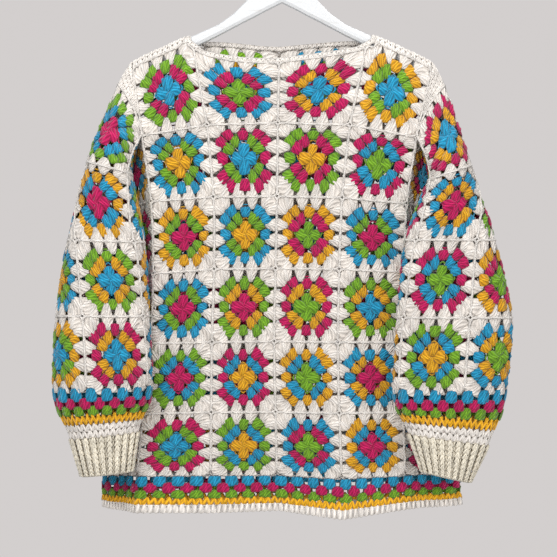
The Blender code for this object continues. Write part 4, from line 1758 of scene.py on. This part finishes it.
@dataclass
class Studio:
    """The plain floor, soft lights and camera, placed for the photograph's frame."""

    middle: tuple[float, float, float] = (-0.005, -0.03, -0.477)
    frame_width: float = 0.78
    distance: float = 3.0
    floor_drop: float = 1.3
    floor_radius: float = 2.4
    floor_rim: float = 0.4
    sensor: float = 36.0
    clip_end: float = 50.0

    def build(self) -> None:
        """Builds the stage, the lights and the camera."""
        self.lay_floor()
        for light in LIGHTS:
            self.hang(light)
        self.world()
        self.camera()

    def lay_floor(self) -> None:
        """Lays the pale floor, whose rim is a ring of its own."""
        clear_selection()
        bpy.ops.mesh.primitive_circle_add(vertices=96, radius=self.floor_radius, fill_type="NGON",
                                          location=(0.0, 0.0, -self.floor_drop))
        floor = bpy.context.object
        floor.name = "studio_floor"
        bpy.ops.object.mode_set(mode="EDIT")
        bpy.ops.mesh.select_all(action="SELECT")
        bpy.ops.mesh.inset(thickness=self.floor_rim)
        bpy.ops.object.mode_set(mode="OBJECT")
        bpy.ops.object.transform_apply(location=True, rotation=True, scale=True)
        paint, graph, shader = start_material("pale_floor")
        graph.fill(shader, {"Base Color": (0.56, 0.55, 0.54, 1.0), "Roughness": 0.8})
        floor.data.materials.append(paint)

    def hang(self, light: SoftLight) -> None:
        """Adds a light and turns it to the garment.

        Args:
            light: What it is like.
        """
        lamp = bpy.data.lights.new(light.name, "AREA")
        lamp.energy = light.power
        lamp.size = light.size
        lamp.color = light.colour
        holder = bpy.data.objects.new(light.name, lamp)
        bpy.context.scene.collection.objects.link(holder)
        holder.location = light.place
        aim = Vector(self.middle) - Vector(light.place)
        holder.rotation_euler = aim.to_track_quat("-Z", "Y").to_euler()

    def world(self) -> None:
        """A pale surrounding that lights the scene softly and shows as a plain pale wall."""
        world = bpy.data.worlds.new("pale_room")
        world.use_nodes = True
        world.node_tree.nodes.clear()
        graph = NodeGraph(world.node_tree)
        seen = graph.add("LightPath", "Is Camera Ray", {})
        glow = graph.add("Background", "Background", {"Color": (0.9, 0.93, 1.0, 1.0), "Strength": 0.43})
        wall = graph.add("Background", "Background", {"Color": (0.65, 0.622, 0.615, 1.0)})
        mixed = graph.add("MixShader", "Shader", {"Fac": seen, 1: glow, 2: wall})
        graph.fill(world.node_tree.nodes.new("ShaderNodeOutputWorld"), {"Surface": mixed})
        bpy.context.scene.world = world

    def camera(self) -> None:
        """Adds the camera, level and square to the garment."""
        data = bpy.data.cameras.new("photo_camera")
        data.lens = self.sensor * self.distance / self.frame_width
        data.sensor_width = self.sensor
        data.clip_end = self.clip_end
        camera = bpy.data.objects.new("photo_camera", data)
        bpy.context.scene.collection.objects.link(camera)
        camera.location = (self.middle[0], self.middle[1] - self.distance, self.middle[2])
        camera.rotation_euler = (math.pi / 2, 0.0, 0.0)
        bpy.context.scene.camera = camera
        bpy.context.scene.view_settings.view_transform = "Standard"


# Real flat sizes of the sheets, in metres
YOKE_FLAT = (0.42, 0.115)
BODY_FLAT = (0.53, 0.49)
SLEEVE_FLAT = (0.36, 0.41)

# The shoulders: where the squares begin, how they spread over the front yoke, and the plain rows above
SHOULDER_START = 0.13
SHOULDER_END = 0.98
SHOULDER_EASE = 0.2
SHOULDER_COLUMNS = ((0.0, 0.78), (3.22, 4.0))
SHOULDER_LINES = (0.0, 0.07, 0.14)
SHOULDER_STITCHES = 11
YOKE_SPREAD = [(0, 0.0), (1, -0.13), (2, 0.0), (3, 0.1), (4, 0.0)]

# The sleeves' heads: the white cap, and the front squares that are drawn wider
CAP_HEIGHT = 0.26
CAP_REACH = 0.8
CAP_LINES = (0.0, 0.25, 0.5, 0.75, 1.0)
CAP_STITCHES = 24
FRONT_WIDENED = [(0, -0.1), (0.5, 0.0), (1, 0.24), (2, 0.12), (3, 0.0), (4, -0.1)]
WIDEST_LINE = 0.7
WIDENED_REACH = 1.1

# How far each row's squares lie below the middle of their blocks
BACK_YOKE_LOWERED = (-0.06,)
FRONT_LOWERED = (0.032, 0.03, 0.022, 0.0, 0.0)
SLEEVE_LOWERED = (-0.03, 0.05, 0.02, -0.012)

# The lines of the rows below the squares, and where the squares' chains are sunk under them
BODY_OPEN_FROM = 4.9
SLEEVE_OPEN_FROM = 3.9
SLEEVE_STRIPES = (3.97, 4.14, 4.31, 4.48, 4.75)
SLEEVE_PLAIN = (4.74, 4.92, 5.09)
HEM_STRIPES = (4.99, 5.17, 5.32, 5.46, 5.66)
HEM_PLAIN = (5.66, 5.96)
HEM_CORDS = (5.68,)
HEM_STITCHES = 144
HEM_FIT = PLAIN_FIT._replace(thickness=0.0052)
BAND_LINES = (0.1, 1.1)
BAND_CORDS = (0.1, 0.95)
BAND_STITCHES = 46

# Spans of the surfaces that stitches are laid on
WHOLE = (0.0, 1.0)
SLEEVE_SPAN = (0.0, 6.0)
HEM_SPAN = (5.0, 6.0)
ROUND_MARGIN = 1.0

# Where the random draws start, counted from a part's own seed
STRIPES_SEED = 1
CUFF_SEED = 2
PLAIN_ROWS_SEED = 3


def shoulder_start(column: float) -> float:
    """The row at which a yoke's squares begin, below the shoulder's plain rows."""
    inwards = min(column, YOKE_COLUMNS - column)
    return SHOULDER_START * min(max((SHOULDER_END - inwards) / SHOULDER_EASE, 0.0), 1.0)


def spread_column(column: float, row: float, face: int) -> float:
    """A yoke's column, with the front's squares drawn apart towards the shoulders."""
    return column + read_line(YOKE_SPREAD, column) * (1.0 - row) if face < 0 else column


def cap_height(column: float) -> float:
    """The line at which a sleeve's squares begin, below the white cap at the shoulder's tip."""
    around = column % SLEEVE_COLUMNS
    return CAP_HEIGHT * max(1.0 - min(around, SLEEVE_COLUMNS - around), 0.0)


def widen_front(column: float, line: float, side: int) -> float:
    """A sleeve's column, with the front block drawn wider near the shoulder.

    Args:
        column: Blocks round the sleeve, left to right as seen from outside.
        line: The block line.
        side: -1 for the left sleeve and 1 for the right one.

    Returns:
        The column to read there.
    """
    around = column % SLEEVE_COLUMNS
    if side > 0:
        around = SLEEVE_COLUMNS - around
    near = max(1.0 - abs(line - WIDEST_LINE) / WIDENED_REACH, 0.0)
    return column - side * read_line(FRONT_WIDENED, around) * near


def lower_start(column: float, line: float) -> float:
    """A sleeve's line with its first row pressed together below the cap."""
    return lerp(cap_height(column), 1.0, line) if line < 1 else line


@dataclass
class CrochetSweater:
    """The whole garment: its panels, tubes, rows and edges."""

    stitches: Stitches
    materials: Materials

    def build(self) -> None:
        """Builds every piece in order, from the shoulders down."""
        self.yokes()
        self.body()
        self.sleeve("left", -1, LEFT_RINGS, SLEEVE_LEFT, 31)
        self.sleeve("right", 1, RIGHT_RINGS, SLEEVE_RIGHT, 41)
        self.hem()
        self.neck()

    def add(self, part: GrannySquares | StripeRows | PlainEdge | RibbedCuff) -> None:
        """Makes a part of the garment and reports its pieces."""
        for piece in part.make(self.stitches, self.materials):
            LOG.info("piece %s: %d faces", piece.name, len(piece.data.polygons))

    def yokes(self) -> None:
        """The first row of squares in front and behind."""
        across = (0.0, float(YOKE_COLUMNS))
        for node, face, layout, lowered, seed in (("front_yoke", -1, YOKE_FRONT, (), 11),
                                                  ("back_yoke", 1, YOKE_BACK, BACK_YOKE_LOWERED, 12)):
            shape = YokeShape(face)
            grid = ClothGrid(lambda column, row: shape.point(spread_column(column, row, shape.face),
                                                             lerp(shoulder_start(column), 1.0, row)),
                             across, WHOLE, steps=16, row_steps=32)
            whole = ClothGrid(shape.point, across, WHOLE, steps=16, row_steps=32)
            plain = tuple(PlainRows(whole, columns, SHOULDER_LINES, SHOULDER_STITCHES, Yarn.WHITE,
                                    seed + PLAIN_ROWS_SEED) for columns in SHOULDER_COLUMNS)
            self.add(GrannySquares(node, grid, layout, YOKE_FLAT, seed, lowered, plain))

    def body(self) -> None:
        """Five rows of squares in front and behind."""
        for node, point, layout, lowered, seed in (("front_body", front_point, BODY_FRONT, FRONT_LOWERED, 21),
                                                   ("back_body", back_point, BODY_BACK, (), 22)):
            grid = ClothGrid(point, (0.0, float(SIDE_COLUMNS)), (0.0, float(len(layout))), steps=12)
            self.add(GrannySquares(node, grid, layout, BODY_FLAT, seed, lowered, open_from=BODY_OPEN_FROM))

    def sleeve(self, name: str, side: int, rings: list[Ring], layout: list[str], seed: int) -> None:
        """A sleeve's squares, its stripes and its cuff.

        Args:
            name: Which sleeve it is.
            side: -1 for the left one and 1 for the right one.
            rings: Its sections.
            layout: Its squares' codes.
            seed: Where its random draws start.
        """
        shape = SleeveShape(side, rings)
        grid = ClothGrid(lambda column, line: shape.point(widen_front(column, line, side),
                                                          lower_start(column, line)),
                         (-ROUND_MARGIN, SLEEVE_COLUMNS + ROUND_MARGIN), SLEEVE_SPAN, steps=12)
        cap = ClothGrid(lambda column, row: shape.point(column, cap_height(column) * row),
                        (-CAP_REACH, CAP_REACH), WHOLE, steps=20, row_steps=12)
        plain = PlainRows(cap, (-CAP_REACH, CAP_REACH), CAP_LINES, CAP_STITCHES, Yarn.WHITE,
                          seed + PLAIN_ROWS_SEED)
        self.add(GrannySquares("sleeve_" + name, grid, layout, SLEEVE_FLAT, seed, SLEEVE_LOWERED, (plain,),
                               SLEEVE_OPEN_FROM))
        self.add(StripeRows("sleeve_stripes_" + name, grid, SLEEVE_COLUMNS, SLEEVE_STRIPES,
                            seed + STRIPES_SEED, SLEEVE_PLAIN))
        self.add(RibbedCuff("cuff_" + name, grid, seed + CUFF_SEED))

    def hem(self) -> None:
        """The striped rows round the hem and the plain edge below them."""
        blocks = 2 * SIDE_COLUMNS
        grid = ClothGrid(round_point, (-ROUND_MARGIN, blocks + ROUND_MARGIN), HEM_SPAN, steps=12,
                         row_steps=20)
        self.add(StripeRows("hem_stripes", grid, blocks, HEM_STRIPES, 51))
        rows = PlainRows(grid, (0.0, float(blocks)), HEM_PLAIN, HEM_STITCHES, Yarn.WHITE, 53, legs=1,
                         fit=HEM_FIT)
        self.add(PlainEdge("hem_edge", rows, HEM_CORDS))

    def neck(self) -> None:
        """The neck's edge in its front and back halves."""
        for node, face, seed in (("neckband_front", -1, 61), ("neckband_back", 1, 62)):
            grid = ClothGrid(NeckEdge(face).point, WHOLE, WHOLE, steps=120, row_steps=6)
            rows = PlainRows(grid, WHOLE, BAND_LINES, BAND_STITCHES, Yarn.WHITE, seed)
            self.add(PlainEdge(node, rows, BAND_CORDS, closed=False))


def main() -> None:
    """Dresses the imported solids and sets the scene."""
    logging.basicConfig(level=logging.INFO, format="%(name)s: %(message)s")
    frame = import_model()
    materials = {yarn: finish.material(yarn.name.lower() + "_yarn") for yarn, finish in YARNS.items()}
    stitches = Stitches(
        cluster=StitchModel("cluster", foot_width=0.62, head_width=0.98, squareness=0.66).model(),
        bead=StitchModel("plain_stitch", segments=6, rings=4, posts=1, foot_width=0.75, strands=0.3).model(),
        row_cluster=StitchModel("row_cluster", foot_width=0.70, head_width=0.92, squareness=0.6).model(),
        wedge=StitchModel("edge_cluster", foot_width=0.32).model())
    CrochetSweater(stitches, materials).build()
    for node, finish in (("hanger_body", PaintedWood()), ("hanger_hook", PlatedWire())):
        put_on(frame["nodes"][node], finish.material())
        LOG.info("finish on %s", node)
    Studio().build()


if __name__ == "__main__":
    main()
